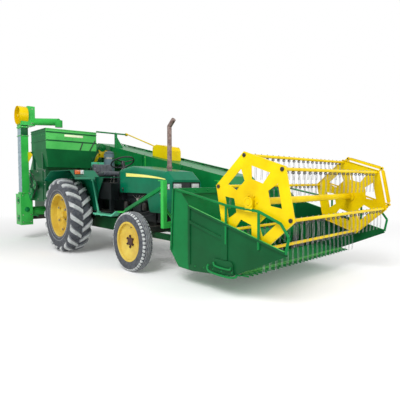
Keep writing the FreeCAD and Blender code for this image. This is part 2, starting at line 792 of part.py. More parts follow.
def oil_tank():
    """An upright tank for the hydraulic oil on a bracket beside the driver's seat."""
    x, y = "-420", "(fender_in - 108)"
    return [rod("z", (x, y, "1300"), "105", "500"), cone("z", (x, y, "1800"), "105", "60", "50"),
            rod("z", (x, y, "1850"), "34", "28"),
            block((f"{x} - 110", f"{x} + 110"), (f"{y} - 105", "fender_in"), ("1288", "1300")),
            block((f"{x} + 20", f"{x} + 80"), ("330", "350"), ("gearbox_high", "1300")),
            block((f"{x} + 20", "gearbox_rear"), ("box_half", "350"),
                  ("gearbox_high", "gearbox_high + 24"))]


# ---------------------------------------------------------------- carrying frame

def subframe():
    """Two long side rails, deeper between the axles, with the hitch plate behind."""
    top, web = "beam_low + beam_deep", "beam_low + beam_web"
    line = [("beam_rear", "beam_low"), ("beam_rear", top), ("140", top), ("270", web),
            ("wheelbase - 520", web), ("wheelbase - 380", top), ("portal_x", top), ("portal_x", "beam_low")]
    for_side = [prism("XZ", line, beside(side, "beam_y", "beam_y + beam_wide")[0], "beam_wide")
                for side in (-1, 1)]
    node("subframe", *for_side)
    crosses = []
    for x, right in (("-1500", "shoe_right"), ("-2400", "shoe_right"),
                     ("leg_front - leg_deep / 2 - 40", "leg_right + leg_wide + 45")):
        for y in ((right, "-beam_y - beam_wide"), across("beam_y"), ("beam_y + beam_wide", "shoe_left")):
            crosses.append(block((x, f"{x} + 80"), y, ("beam_low", top)))
    outrigger = block(("foot_x - 60", "foot_x + 60"), ("-floor_half", "ram_y_out + 80"),
                      ("beam_low - 60", "beam_low"))
    lugs = []
    for y in ("ram_y_in", "ram_y_out"):
        for way in (-1, 1):
            near = f"{y} + {way} * 50 - ear_thick / 2"
            lugs.append(block(("foot_x - 40", "foot_x + 40"), (near, f"{near} + ear_thick"),
                              ("beam_low - 1", "foot_high + 35")))
        lugs.append(rod("y", ("foot_x", f"{y} - 58", "foot_high"), "pin_r", "116"))
    hitch = block(("beam_rear - 90", "beam_rear"), across("beam_y + beam_wide"),
                  ("beam_low + beam_deep - hitch_thick", "beam_low + beam_deep"))
    hole = rod("z", ("beam_rear - 45", "0", "beam_low"), "hitch_hole_r", "beam_deep + 20")
    node("cross_members", *crosses, fuse(outrigger, *lugs), cut(hitch, hole))


def portal():
    """The upright frame ahead of the tractor's nose, stayed back to the step and the bolster."""
    half = "portal_y + portal_tube / 2"
    x = ("portal_x", "portal_x + portal_tube")
    sill = block(x, across(half), ("portal_sill", "portal_sill + 80"))
    pieces = [sill]
    for side in (-1, 1):
        y = f"{side} * portal_y"
        pieces.append(block(x, (f"{y} - portal_tube / 2", f"{y} + portal_tube / 2"),
                            ("portal_sill", "portal_high")))
        pieces.append(block(x, beside(side, "beam_y", "beam_y + beam_wide"), ("beam_low", "portal_sill")))
        pieces.append(strut(("portal_x + 20", f"{side} * (portal_y - 20)", "portal_high - 350"),
                            ("nose - 90", f"{side} * (box_half + 15)", "bolster_low + 60"), "16"))
        pieces.append(block(("nose - 130", "nose - 62"), beside(side, "box_half", "box_half + 14"),
                            ("bolster_low + 5", "bolster_low + 95")))
        pieces.append(block(("portal_x - 60", "portal_x"), (f"{y} - 26", f"{y} + 26"),
                            ("portal_high - 12", "portal_high")))
    brace = strut(("portal_x + 10", "-portal_y", "portal_high - 90"),
                  ("step_front + 150", "-floor_half - 40", "step_low + 95"), "15")
    brace_foot = block(("step_front", "step_front + 170"), ("-floor_half - 70", "-floor_half - 15"),
                       ("step_low + 72", "step_low + 92"))
    node("front_portal", *pieces, brace, brace_foot)


# ---------------------------------------------------------------- threshing unit

def thresher():
    housing = prism("XZ", [("drum_front", "drum_low"), ("drum_front", "drum_high"),
                           ("drum_rear", "drum_high"), ("drum_rear", "drum_low")],
                    "drum_right", "drum_left - drum_right")
    inside = block(("drum_rear + sheet", "drum_front - sheet"),
                   ("drum_right + sheet", "drum_left - sheet"),
                   ("drum_low + sheet", "drum_high - sheet"))
    feed_hole = block(("pivot_x - 190", "pivot_x + 190"),
                      ("feeder_right - 10", "feeder_right + feeder_wide + 10"),
                      ("drum_high - 20", "drum_high + 20"))
    shaft_x, shaft_z = "(drum_front + drum_rear) / 2", "(drum_low + drum_high) / 2"
    bosses = [rod("y", (shaft_x, y, shaft_z), "85", "30") for y in ("drum_right - 30", "drum_left")]
    ribs = [block((f"drum_front - {170 + 220 * i}", f"drum_front - {140 + 220 * i}"),
                  ("drum_right - 12", "drum_right"), ("drum_low + 30", "drum_high - 30"))
            for i in (0, 3)]
    node("thresher_housing", cut(housing, inside, feed_hole), *bosses, *ribs)
    shoe_low = "beam_low + beam_deep"
    shoe = block(("shoe_rear", "drum_front - 60"), ("shoe_right", "shoe_left"), (shoe_low, "drum_low"))
    fan = rod("y", ("drum_front - 250", "shoe_right - 40", f"{shoe_low} + fan_r + 10"), "fan_r",
              "shoe_left - shoe_right + 80")
    shoe_in = block(("shoe_rear + sheet", "drum_front - 60 - sheet"),
                    ("shoe_right + sheet", "shoe_left - sheet"),
                    (f"{shoe_low} + sheet", "drum_low - sheet"))
    node("cleaning_shoe", fuse(cut(shoe, shoe_in), fan))
    hood_line = [("drum_rear", "drum_low"), ("drum_rear", "drum_high - 30"),
                 ("drum_rear - 250", "straw_high"), ("straw_rear + 350", "straw_high"),
                 ("straw_rear", "straw_high - 500"), ("straw_rear", "drum_low + 200"),
                 ("straw_rear + 300", "drum_low")]
    outer = prism("XZ", hood_line, "shoe_right", "shoe_left - shoe_right")
    inner = prism("XZ", [("drum_rear - sheet", "drum_low + sheet"),
                         ("drum_rear - sheet", "drum_high - 30 - sheet"),
                         ("drum_rear - 255", "straw_high - sheet"),
                         ("straw_rear + 352", "straw_high - sheet"),
                         ("straw_rear + 30", "straw_high - 500"),
                         ("straw_rear - 50", "straw_high - 560"),
                         ("straw_rear - 50", "drum_low + 200"),
                         ("straw_rear + 302", "drum_low + sheet")],
                  "shoe_right + sheet", "shoe_left - shoe_right - 2 * sheet")
    node("straw_hood", cut(outer, inner))
    cheeks = []
    for low in ("feeder_right - 46", "feeder_right + feeder_wide + 40"):
        cheeks.append(prism("XZ", [("pivot_x - 330", "drum_high"), ("pivot_x - 330", "pivot_high + 60"),
                                   ("pivot_x - 120", "pivot_high + 170", "60"),
                                   ("pivot_x + 120", "pivot_high + 130", "60"),
                                   ("pivot_x + 260", "drum_high")], low, "sheet"))
    rings = [rod("y", ("pivot_x", low, "pivot_high"), "bearing_r", "34")
             for low in ("feeder_right - 80", "feeder_right + feeder_wide + 46")]
    bore = rod("y", ("pivot_x", "feeder_right - 100", "pivot_high"), "shaft_r + pin_gap",
               "feeder_wide + 200")
    back = block(("pivot_x - 330", "pivot_x - 330 + sheet"),
                 ("feeder_right - 46", "feeder_right + feeder_wide + 46"),
                 ("drum_high", "pivot_high + 50"))
    node("feed_intake", cut(fuse(*cheeks, back, *rings), bore))


def grain_tank():
    """An open box over a funnel, with two pressed beads round its walls."""
    top = (("tank_rear", "tank_front"), ("tank_right", "tank_left"))
    low = (("tank_rear + 220", "tank_front - 60"), ("tank_right + 60", "tank_left - 90"))
    wall_top = (("tank_rear + sheet", "tank_front - sheet"), ("tank_right + sheet", "tank_left - sheet"))
    wall_low = (("tank_rear + 220 + sheet", "tank_front - 60 - sheet"),
                ("tank_right + 60 + sheet", "tank_left - 90 - sheet"))
    box = block(*top, ("tank_break", "tank_high"))
    funnel = hopper(low, top, ("tank_low", "tank_break"))
    beads = [block(("tank_rear - bead_proud", "tank_front + bead_proud"),
                   ("tank_right - bead_proud", "tank_left + bead_proud"), (z, f"{z} + bead_tall"))
             for z in ("tank_high - bead_tall", "tank_high - 60", "tank_high - 230")]
    box_in = block(*wall_top, ("tank_break", "tank_high + 50"))
    funnel_in = hopper(wall_low, wall_top, ("tank_low + sheet", "tank_break"))
    node("grain_tank", cut(fuse(box, funnel, *beads), box_in, funnel_in))
    legs = []
    for x in ("drum_front - 60", "tank_rear + 10"):
        for y in ("tank_right + 10", "tank_left - 60"):
            legs.append(block((x, f"{x} + 50"), (y, f"{y} + 50"), ("drum_high", "tank_break - 2")))
    gusset_rear = prism("YZ", [("tank_right - 30", "tank_break - 20"),
                               ("tank_right + 130", "tank_break - 20"),
                               ("tank_right + 130", "tank_break - 220")], "tank_rear + 20", "14")
    gusset_front = prism("YZ", [("tank_left + 80", "tank_break"), ("tank_left - 100", "tank_break"),
                                ("tank_left - 100", "tank_break - 200")], "tank_front - 34", "14")
    funnel_out = hopper(low, top, ("tank_low", "tank_break"))
    box_out = block(*top, ("tank_break", "tank_high"))
    node("tank_stand", cut(fuse(*legs, gusset_rear, gusset_front), funnel_out, box_out))


def elevator():
    """The leg that lifts the grain, from its boot low down to its head over the tank."""
    rear, left = "leg_front - leg_deep", "leg_right + leg_wide"
    boot_x = (f"{rear} - 50", "leg_front + 50")
    boot_y = ("leg_right - 50", f"{left} + 45")
    leg = block((rear, "leg_front"), ("leg_right", left), ("leg_low", "leg_high"))
    boot = block(boot_x, boot_y, ("leg_low - 30", "boot_high"))
    flange = block((f"{rear} - 65", "leg_front + 50"), ("leg_right - 50", f"{left} + 60"),
                   ("boot_high - 14", "boot_high"))
    cross = rod("y", ("leg_front - leg_deep / 2", f"{left} + 45", "leg_low + 250"), "95",
                f"shoe_right - ({left} + 45)")
    leg_in = block((f"{rear} + sheet", "leg_front - sheet"), ("leg_right + sheet", f"{left} - sheet"),
                   ("leg_low", "leg_high - sheet"))
    boot_in = block(*[(f"{a} + sheet", f"{b} - sheet")
                      for a, b in (boot_x, boot_y, ("leg_low - 30", "boot_high"))])
    node("elevator_leg", cut(fuse(leg, boot, flange, cross), leg_in, boot_in))
    middle, centre = "leg_front - leg_deep / 2", "head_high - head_r"
    cup = rod("y", (middle, "leg_right - 35", centre), "head_r", "leg_wide + 30")
    hollow = rod("y", (middle, "leg_right - 45", centre), "head_r - sheet", "leg_wide + 40 - sheet")
    pulley = rod("y", (middle, "leg_right + 30", centre), "head_r * 0.7", "24")
    stub = rod("y", (middle, "leg_right - 20", centre), "24", "leg_wide + 20 - sheet")
    node("elevator_guard", fuse(cut(cup, hollow), pulley, stub))
    head_x = (f"{rear} - 30", "leg_front + 30")
    right = f"({left} - 5)"
    box = prism("XZ", [(head_x[0], "leg_high"), (head_x[0], "head_high - 110"),
                       (f"{head_x[0]} + 110", "head_high"), (head_x[1], "head_high"),
                       (head_x[1], "leg_high")], right, f"head_left - {right}")
    cradle = cut(block(head_x, ("leg_right", f"{right} + 10"), ("leg_high", "leg_high + 100")),
                 rod("y", (middle, "leg_right - 60", centre), "head_r + 1", "leg_wide + 55"))
    tube = strut((f"{head_x[1]} - 70", "head_left - 40", "spout_high"),
                 ("spout_x", "spout_y", "spout_high - 35"), "spout_r")
    elbow = rod("z", ("spout_x", "spout_y", "tank_high + 130"), "spout_r", "spout_high - tank_high - 130")
    node("elevator_head", box, cradle, tube, elbow)


# ---------------------------------------------------------------- header

def feeder_top(x):
    return f"feeder_nose_high + feeder_slope * (feeder_nose_x - ({x}))"


def back_wall(z):
    """How far forward the header's sloping back wall is at a height."""
    return f"back_low_x + (({z}) - back_low) * (back_top_x - back_low_x) / (back_top - back_low)"


def cover(x0, x1, below):
    """A plate between the conveyor's sides, so far below the line of its top."""
    line = [(x, f"{feeder_top(x)} - {below}") for x in (x0, x1)]
    return prism("XZ", line + [(x, f"{z} - sheet") for x, z in reversed(line)],
                 "feeder_right + sheet", "feeder_wide - 2 * sheet")


def feeder():
    """A long sloping box: sides and covers, open below at its rear end, and its throat."""
    rear = "(pivot_x - 60)"
    joint = "(throat_x - 1)"
    side_line = [(rear, feeder_top(rear)), (joint, feeder_top(joint)),
                 (joint, f"{feeder_top(joint)} - feeder_deep"), (rear, f"{feeder_top(rear)} - feeder_deep")]
    sides = [prism("XZ", side_line, low, "sheet") for low in ("feeder_right", "feeder_left - sheet")]
    shaft_hole = rod("y", ("pivot_x", "feeder_right - 20", "pivot_high"), "shaft_r", "feeder_wide + 40")
    ribs = []
    for x in ("pivot_x + 480", "410", "1600"):
        far = f"{x} + 60"
        rib = [(x, f"{feeder_top(x)} - 10"), (far, f"{feeder_top(far)} - 10"),
               (far, f"{feeder_top(far)} - feeder_deep + 6"), (x, f"{feeder_top(x)} - feeder_deep + 6")]
        ribs += [prism("XZ", rib, low, "22") for low in ("feeder_right - 22", "feeder_left")]
    ears = []
    for y in ("ram_y_in", "ram_y_out"):
        for way in (-1, 1):
            low = f"{y} + {way} * 32 - ear_thick / 2"
            ear = prism("XZ", [("eye_x - 70", f"{feeder_top('eye_x - 70')} - feeder_deep"),
                               ("eye_x - 35", "eye_high - 30"), ("eye_x + 35", "eye_high - 30"),
                               ("eye_x + 70", f"{feeder_top('eye_x + 70')} - feeder_deep")], low, "ear_thick")
            hole = rod("y", ("eye_x", f"{low} - 10", "eye_high"), "eye_hole_r", "ear_thick + 20")
            ears.append(cut(ear, hole))
    node("feeder_conveyor", cut(fuse(*sides), shaft_hole), *ribs, *ears)

    floor_rear = "(pivot_x + 170)"
    top = cover(rear, joint, "0")
    floor = cover(floor_rear, joint, "(feeder_deep - sheet)")
    back = block((rear, f"{rear} + sheet"), ("feeder_right + sheet", "feeder_left - sheet"),
                 (f"{feeder_top(rear)} - feeder_deep", f"{feeder_top(rear)} - sheet - 2"))
    post_y = "(feeder_right + 40)"
    post = block(("arm_x - 22", "arm_x + 22"), (f"{post_y} - 22", f"{post_y} + 22"),
                 (f"{feeder_top('arm_x')} - 8", "arm_high"))
    rail = rod("y", ("arm_x", "tank_left + 15", "arm_high"), "arm_r", f"{post_y} + 240 - tank_left - 15")
    web = prism("YZ", [(f"{post_y} + 20", f"{feeder_top('arm_x')} - 8"), (f"{post_y} + 20", "arm_high - 60"),
                       (f"{post_y} + 180", f"{feeder_top('arm_x')} - 8")], "arm_x - 5", "10")
    pipe_line = "feeder_left - 50"
    pipe = strut(("pivot_x - 50", pipe_line, f"{feeder_top('pivot_x - 50')} + 24"),
                 ("throat_x - 280", pipe_line, f"{feeder_top('throat_x - 280')} + 24"), "11")
    clips = [block((x, f"{x} + 30"), (f"{pipe_line} - 14", f"{pipe_line} + 14"),
                   (f"{feeder_top(x)} - 12", f"{feeder_top(x)} + 24"))
             for x in [f"pivot_x + {100 + 900 * i}" for i in range(4)]]
    node("feeder_covers", top, floor, back, post, rail, web, pipe, *clips)

    high, low = "back_top - 10", "mouth_low"
    heel = "mouth_x - 110"
    under = f"{feeder_top('throat_x')} - feeder_deep"
    throat_line = [("throat_x", feeder_top("throat_x")), ("feeder_nose_x", "feeder_nose_high"),
                   (back_wall(high), high), (back_wall(low), low), (heel, low), ("throat_x", under)]
    cheeks = [prism("XZ", throat_line, y, "sheet") for y in ("feeder_right", "feeder_left - sheet")]
    crown = prism("XZ", [throat_line[0], throat_line[1], throat_line[2],
                         (back_wall("back_top - 20"), "back_top - 20"),
                         ("feeder_nose_x - 3", "feeder_nose_high - sheet"),
                         ("throat_x", f"{feeder_top('throat_x')} - sheet")],
                  "feeder_right + sheet", "feeder_wide - 2 * sheet")
    sole = prism("XZ", [("throat_x", under), ("throat_x", f"{under} + 12"), (f"{heel} + 4", f"{low} + sheet"),
                        (back_wall(f"{low} + sheet"), f"{low} + sheet"), (back_wall(low), low), (heel, low)],
                 "feeder_right + sheet", "feeder_wide - 2 * sheet")
    node("feeder_throat", *cheeks, crown, sole)
    shaft = rod("y", ("pivot_x", "feeder_right - 90", "pivot_high"), "shaft_r", "feeder_wide + 180")
    node("conveyor_shaft", shaft)


def reel_drive():
    """The belt that turns the reel runs under a tall guard on the conveyor's back."""
    guard_line = [("guard_rear", feeder_top("guard_rear")), ("guard_rear", "guard_high - 40", "30"),
                  ("guard_rear + 120", "guard_high", "40"), ("guard_front - 40", "guard_high - 75", "40"),
                  ("guard_front", "guard_high - 150"), ("guard_front", feeder_top("guard_front"))]
    guard = prism("XZ", guard_line, "guard_right", "guard_left - guard_right")
    guard_in = prism("XZ", [("guard_rear + sheet", f"{feeder_top('guard_rear')} - 30"),
                            ("guard_rear + sheet", "guard_high - 60"),
                            ("guard_rear + 125", "guard_high - 12"), ("guard_front - 55", "guard_high - 90"),
                            ("guard_front - sheet", "guard_high - 155"),
                            ("guard_front - sheet", f"{feeder_top('guard_front')} - 30")],
                     "guard_right + sheet", "guard_left - guard_right - 2 * sheet")
    link = strut(("arm_x + arm_r + 4", "guard_left - 120", "arm_high + 10"),
                 ("guard_rear + 3", "guard_left - 120", "guard_high - 40"), "13")
    collar = rod("y", ("arm_x", "feeder_right + 282", "arm_high"), "arm_r + 16", "40")
    node("reel_drive", cut(guard, guard_in), link, collar)


def header_pan():
    inner_y = "header_right + end_thick"
    wide = "header_left - header_right - 2 * end_thick"
    wall = "sheet"
    line = [("back_top_x", "back_top"), ("back_low_x", "back_low"), ("trough_x - 200", "trough_low + 30"),
            ("trough_x", "trough_low"), ("trough_x + 150", "trough_low + 15"),
            ("pan_front_x", "pan_front"), ("knife_x - 60", "knife_high - 8")]
    upper = [("knife_x - 60", f"knife_high - 8 + {wall}"), ("pan_front_x", f"pan_front + {wall}"),
             ("trough_x + 148", f"trough_low + 15 + {wall}"), ("trough_x", f"trough_low + {wall}"),
             ("trough_x - 198", f"trough_low + 30 + {wall}"),
             (f"back_low_x + {wall}", f"back_low + {wall} * 0.5"), (f"back_top_x + {wall}", "back_top")]
    pan = prism("XZ", line + upper, inner_y, wide)
    hole = block(("back_low_x - 60", "back_top_x + 60"),
                 ("feeder_right + 15", "feeder_left - 15"), ("mouth_low + 40", "back_top - 180"))
    beam_right = block(("back_top_x - 50", "back_top_x + 40"), (inner_y, "feeder_right - 5"),
                       ("back_top", "back_top + 70"))
    beam_left = block(("back_top_x - 10", "back_top_x + 40"), ("feeder_right - 5", "header_left - end_thick"),
                      ("back_top", "back_top + 70"))
    skids = [block(("trough_x - 60", "trough_x + 60"), (y, f"{y} + 80"), ("trough_low - 20", "trough_low"))
             for y in ("header_right + 240", "header_left - 320")]
    node("header_pan", cut(pan, hole), beam_right, beam_left, *skids)
    bar = block(("knife_x - 60", "knife_x"), (inner_y, "header_left - end_thick"),
                ("knife_high - 14", "knife_high + 4"))
    finger = prism("XY", [("knife_x", f"{inner_y} + 26"), ("knife_x + finger_long", f"{inner_y} + 37"),
                          ("knife_x + finger_long", f"{inner_y} + 41"), ("knife_x", f"{inner_y} + 52")],
                   "knife_high - 14", "18")
    count = int((value(wide) - 60) // value("finger_pitch")) + 1
    node("cutter_bar", bar, repeated(finger, "finger_pitch", count))


def header_end(side):
    """An end sheet with its pressed ribs, bright top flange and skid shoe; it points the dividers."""
    def span(near, far):
        """The start and thickness in y of what lies so far in from the outer face."""
        start = f"header_right + {near}" if side < 0 else f"header_left - ({far})"
        return start, f"{far} - ({near})"

    line = [("back_low_x - 20", "back_low + 10"), ("back_top_x - 50", "back_top + 70"),
            ("back_top_x + 60", "back_top + 70"), ("trough_x", "back_top - 130"),
            ("tip_x - 20", "tip_high + 20"), ("tip_x", "tip_high - 20"), ("knife_x - 100", "knife_high - 30"),
            ("trough_x + 60", "trough_low - 15"), ("trough_x - 200", "trough_low - 5")]
    skin = prism("XZ", line, *span("(end_thick - end_skin)", "end_thick"))
    slope = "(back_top - 150 - tip_high) / (tip_x - 20 - trough_x)"

    def edge(x):
        """The height of the end sheet's top edge ahead of the trough."""
        return f"back_top - 130 - {slope} * (({x}) - trough_x)"

    flange = prism("XZ", [("trough_x", "back_top - 130"), ("tip_x - 20", "tip_high + 20"),
                          ("tip_x - 20", "tip_high - 4"), ("trough_x", "back_top - 154")],
                   *span("0", "(end_thick - 1)"))
    ribs = []
    for x, wide, foot in (("trough_x - 10", "rib_wide", "trough_low + 60"),
                          ("knife_x - 250", "rib_wide + 50", "knife_high + 130")):
        ribs.append(prism("XZ", [(x, foot), (f"{x} + {wide}", foot),
                                 (f"{x} + {wide}", f"{edge(f'{x} + {wide}')} - 12"), (x, f"{edge(x)} - 12")],
                          *span("8", "(end_thick - 1)")))
    ribs.append(prism("XZ", [("trough_x + rib_wide - 14", "800"), ("knife_x - 249", "660"),
                             ("knife_x - 249", "660 - rib_wide"),
                             ("trough_x + rib_wide - 14", "800 - rib_wide")], *span("8", "(end_thick - 1)")))
    ribs.append(prism("XZ", [("back_low_x - 16", "back_low + 14"), ("back_top_x - 48", "back_top + 60"),
                             ("back_top_x - 18", "back_top + 60"), ("back_low_x + 14", "back_low + 14")],
                      *span("8", "(end_thick - 1)")))
    shoe = prism("XZ", [("knife_x - 365", "knife_high - 22"), ("knife_x - 365", "knife_high + 126"),
                        ("knife_x - 80", "knife_high + 126", "40"), ("knife_x - 62", "knife_high - 10"),
                        ("knife_x - 120", "knife_high - 30")], *span("2", "(end_thick - 1)"))
    return node(f"header_end_{side_name(side)}", skin, flange, *ribs, shoe)


def header():
    header_pan()
    ends = [header_end(side) for side in (-1, 1)]
    rails = []
    for y in ("header_right + rail_r", "header_left - rail_r"):
        route = [("back_top_x + 20", y, "back_top + 60"), ("knife_x - 185", y, "rail_high"),
                 ("knife_x + 255", y, "rail_high - 40"), ("knife_x + 515", y, "rail_high - 140"),
                 ("knife_x + 605", y, "rail_high - 260"), ("tip_x - 10", y, "tip_high")]
        for a, b in zip(route, route[1:]):
            rails.append(strut(a, b, "rail_r"))
        for x, z in (("knife_x - 185", "rail_high"), ("knife_x + 255", "rail_high - 40")):
            rails.append(strut((x, y, "tip_high"), (x, y, z), "rail_r"))
    node("divider_rails", cut(fuse(*rails), *ends))
    bearings = []
    for y in ("header_right", "header_left - 2 * rail_r"):
        bearings.append(block(("reel_x - 45", "reel_x + 45"), (y, f"{y} + 2 * rail_r"),
                              ("rail_high - 50", "reel_high + 45")))
    bores = [rod("y", ("reel_x", f"{y} - 10", "reel_high"), "reel_shaft_r + pin_gap", "2 * rail_r + 20")
             for y in ("header_right", "header_left - 2 * rail_r")]
    node("reel_bearings", cut(fuse(*bearings), *bores, *rails), spider_carrier())


def auger_flight(start, length, hand):
    """A helical flight in flat steps, as a closed strip round the tube."""
    pitch, thick = value("flight_pitch"), value("flight_thick")
    inner, outer = value("auger_tube_r") - 3, value("auger_r")
    steps = max(2, round(FLIGHT_STEPS * length / pitch))
    rows = []
    for i in range(steps + 1):
        turn = hand * 2 * math.pi * length / pitch * i / steps
        y = start + (length - thick) * i / steps
        cos, sin = math.cos(turn), math.sin(turn)
        rows.append([Vector(radius * cos, y + side, radius * sin)
                     for side in (0, thick) for radius in (inner, outer)])
    faces = []
    for near, far in zip(rows, rows[1:]):
        for a, b in ((0, 1), (1, 3), (3, 2), (2, 0)):
            for corners in ((near[a], near[b], far[b]), (near[a], far[b], far[a])):
                faces.append(Part.Face(Part.makePolygon([*corners, corners[0]])))
    for end in (rows[0], rows[-1]):
        faces.append(Part.Face(Part.makePolygon([end[0], end[1], end[3], end[2], end[0]])))
    flight = doc.addObject("Part::Feature", "flight")
    solid = Part.makeSolid(Part.makeShell(faces))
    solid.fixTolerance(0.001)
    if solid.Volume < 0:
        solid.reverse()
    flight.Shape = solid
    return stand(flight, "auger_x", "0", "auger_high")


def auger():
    """Flights of opposite hands that bring the crop to fingers before the throat."""
    start = "(header_right + end_thick + run_gap)"
    end = "(header_left - end_thick - run_gap)"
    tube = cut(rod("y", ("auger_x", start, "auger_high"), "auger_tube_r", f"{end} - {start}"),
               rod("y", ("auger_x", f"{start} - 10", "auger_high"), "auger_tube_r - sheet",
                   f"{end} - {start} + 20"))
    right_end, left_start = "feeder_right + 60", "feeder_left - 60"
    flights = [auger_flight(value(f"{start} + 20"), value(f"{right_end} - ({start} + 20)"), 1),
               auger_flight(value(left_start), value(f"{end} - 20 - ({left_start})"), -1)]
    fingers = []
    for i in range(8):
        y = f"{right_end} + 60 + (feeder_wide - 240) * {i} / 7"
        angle = 150 * i
        spot = [f"auger_x + %s * cos({angle})", f"auger_high + %s * sin({angle})"]
        fingers.append(strut((spot[0] % "(auger_tube_r - 3)", y, spot[1] % "(auger_tube_r - 3)"),
                             (spot[0] % "(auger_r - 8)", y, spot[1] % "(auger_r - 8)"), "finger_r"))
    node("auger", tube, *flights, *fingers)


def reel_spot(angle, radius="reel_r"):
    return (f"reel_x + {radius} * cos({angle})", f"reel_high + {radius} * sin({angle})")


def ring_corners(radius):
    """The corners of a reel plate, each beyond one tine bar."""
    return [reel_spot(f"(bar_start - {360 / REEL_SIDES * i})", radius) for i in range(REEL_SIDES)]


def reel():
    """Six-cornered end plates with a flange and six windows each, on a tube and a shaft."""
    tip = "(reel_r + reel_over)"
    shaft = rod("y", ("reel_x", "header_right", "reel_high"), "reel_shaft_r", "header_left - header_right")
    tube = rod("y", ("reel_x", "reel_right", "reel_high"), "reel_tube_r", "reel_left - reel_right")
    pieces, windows, holes = [shaft, tube], [], []
    for low, inward in (("reel_right", "reel_right"), ("reel_left - reel_plate", "reel_left - reel_flange")):
        pieces.append(prism("XZ", ring_corners(tip), low, "reel_plate"))
        pieces.append(cut(prism("XZ", ring_corners(tip), inward, "reel_flange"),
                          prism("XZ", ring_corners(f"({tip} - reel_plate)"), f"{inward} - 5",
                                "reel_flange + 10")))
        pieces.append(rod("y", ("reel_x", inward, "reel_high"), "reel_tube_r + 34", "reel_flange"))
    for i in range(REEL_SIDES):
        middle = f"(bar_start - {360 / REEL_SIDES * (i + 0.5)})"
        corners = [(f"reel_x + {tip} * ({far} * cos{middle} - {half} * sin{middle})",
                    f"reel_high + {tip} * ({far} * sin{middle} + {half} * cos{middle})")
                   for far, half in ((0.42, -0.14), (0.42, 0.14), (0.66, 0.23), (0.66, -0.23))]
        windows.append(prism("XZ", corners, "reel_right - 20", "reel_left - reel_right + 40"))
        x, z = reel_spot(f"(bar_start - {360 / REEL_SIDES * i})")
        holes.append(rod("y", (x, "reel_right - 20", z), "bar_r + pin_gap", "reel_left - reel_right + 40"))
    node("reel_frame", cut(fuse(*pieces), *windows, *holes))
    spider_y = "reel_left + spider_gap"
    cx, cz = "reel_x + crank_x", "reel_high + crank_high"
    hub = cut(rod("y", (cx, spider_y, cz), "carrier_r + 36", "spider_thick"),
              rod("y", (cx, f"{spider_y} - 5", cz), "carrier_r + 6", "spider_thick + 10"))
    arms = []
    for i in range(REEL_SIDES):
        angle = f"(bar_start - {360 / REEL_SIDES * i})"
        arms.append(prism("XZ", [(f"{cx} + {far} * cos{angle} - {half} * sin{angle}",
                                  f"{cz} + {far} * sin{angle} + {half} * cos{angle}")
                                 for far, half in (("(carrier_r + 20)", -12), ("(carrier_r + 20)", 12),
                                                   ("reel_r", 9), ("reel_r", -9))], spider_y, "spider_thick"))
        arms.append(rod("y", (f"{cx} + reel_r * cos{angle}", spider_y, f"{cz} + reel_r * sin{angle}"),
                        "20", "spider_thick"))
    node("reel_spider", hub, *arms)


def spider_carrier():
    """The fixed disc, off the reel's axis, that the spider turns on."""
    spider_y = "reel_left + spider_gap"
    cx, cz = "reel_x + crank_x", "reel_high + crank_high"
    near = f"{spider_y} + spider_thick + 1"
    return cut(fuse(rod("y", (cx, spider_y, cz), "carrier_r", "spider_thick"),
                    block((f"{cx} - 30", f"{cx} + 30"), (near, "header_left - 2 * rail_r"),
                          ("reel_high - 10", f"{cz} + 60")),
                    block(("reel_x - 40", f"{cx} + 30"), (near, "header_left - 2 * rail_r"),
                          ("reel_high - 20", "reel_high + 40")),
                    rod("y", (cx, f"{near} - 2", cz), "60", "4")),
               rod("y", ("reel_x", f"{spider_y} - 5", "reel_high"), "reel_shaft_r + 7", "80"))


def tine_bars():
    for i in range(REEL_SIDES):
        x, z = reel_spot(f"(bar_start - {360 / REEL_SIDES * i})")
        tube = rod("y", (x, "reel_right - 6", z), "bar_r", "reel_left - reel_right + 18")
        count = int((value("reel_left - reel_right") - 120) // value("tine_pitch")) + 1
        tines = [repeated(prism("XZ", [(f"{x} - tine_thick / 2", f"{z} - tine_long"),
                                       (f"{x} + tine_thick / 2", f"{z} - tine_long"),
                                       (f"{x} + tine_thick / 2", z), (f"{x} - tine_thick / 2", z)],
                                start, "tine_thick"), "tine_pitch", count)
                 for start in ("reel_right + 60", "reel_right + 60 + tine_gap")]
        side_x = "crank_high * 9 / sqrt(crank_x ^ 2 + crank_high ^ 2)"
        side_z = "crank_x * 9 / sqrt(crank_x ^ 2 + crank_high ^ 2)"
        crank = prism("XZ", [(f"{x} - {side_x}", f"{z} + {side_z}"), (f"{x} + {side_x}", f"{z} - {side_z}"),
                             (f"{x} + crank_x + {side_x}", f"{z} + crank_high - {side_z}"),
                             (f"{x} + crank_x - {side_x}", f"{z} + crank_high + {side_z}")],
                      "reel_left + 4", "6")
        pin = rod("y", (f"{x} + crank_x", "reel_left + 4", f"{z} + crank_high"), "crank_pin_r", "14")
        node(f"tine_bar_{i + 1}", tube, *tines, crank, pin)


# ---------------------------------------------------------------- lift cylinders

def along(share):
    """A spot on the line from the cylinders' foot pins to their eyes."""
    return (f"foot_x + (eye_x - foot_x) * {share}", f"foot_high + (eye_high - foot_high) * {share}")


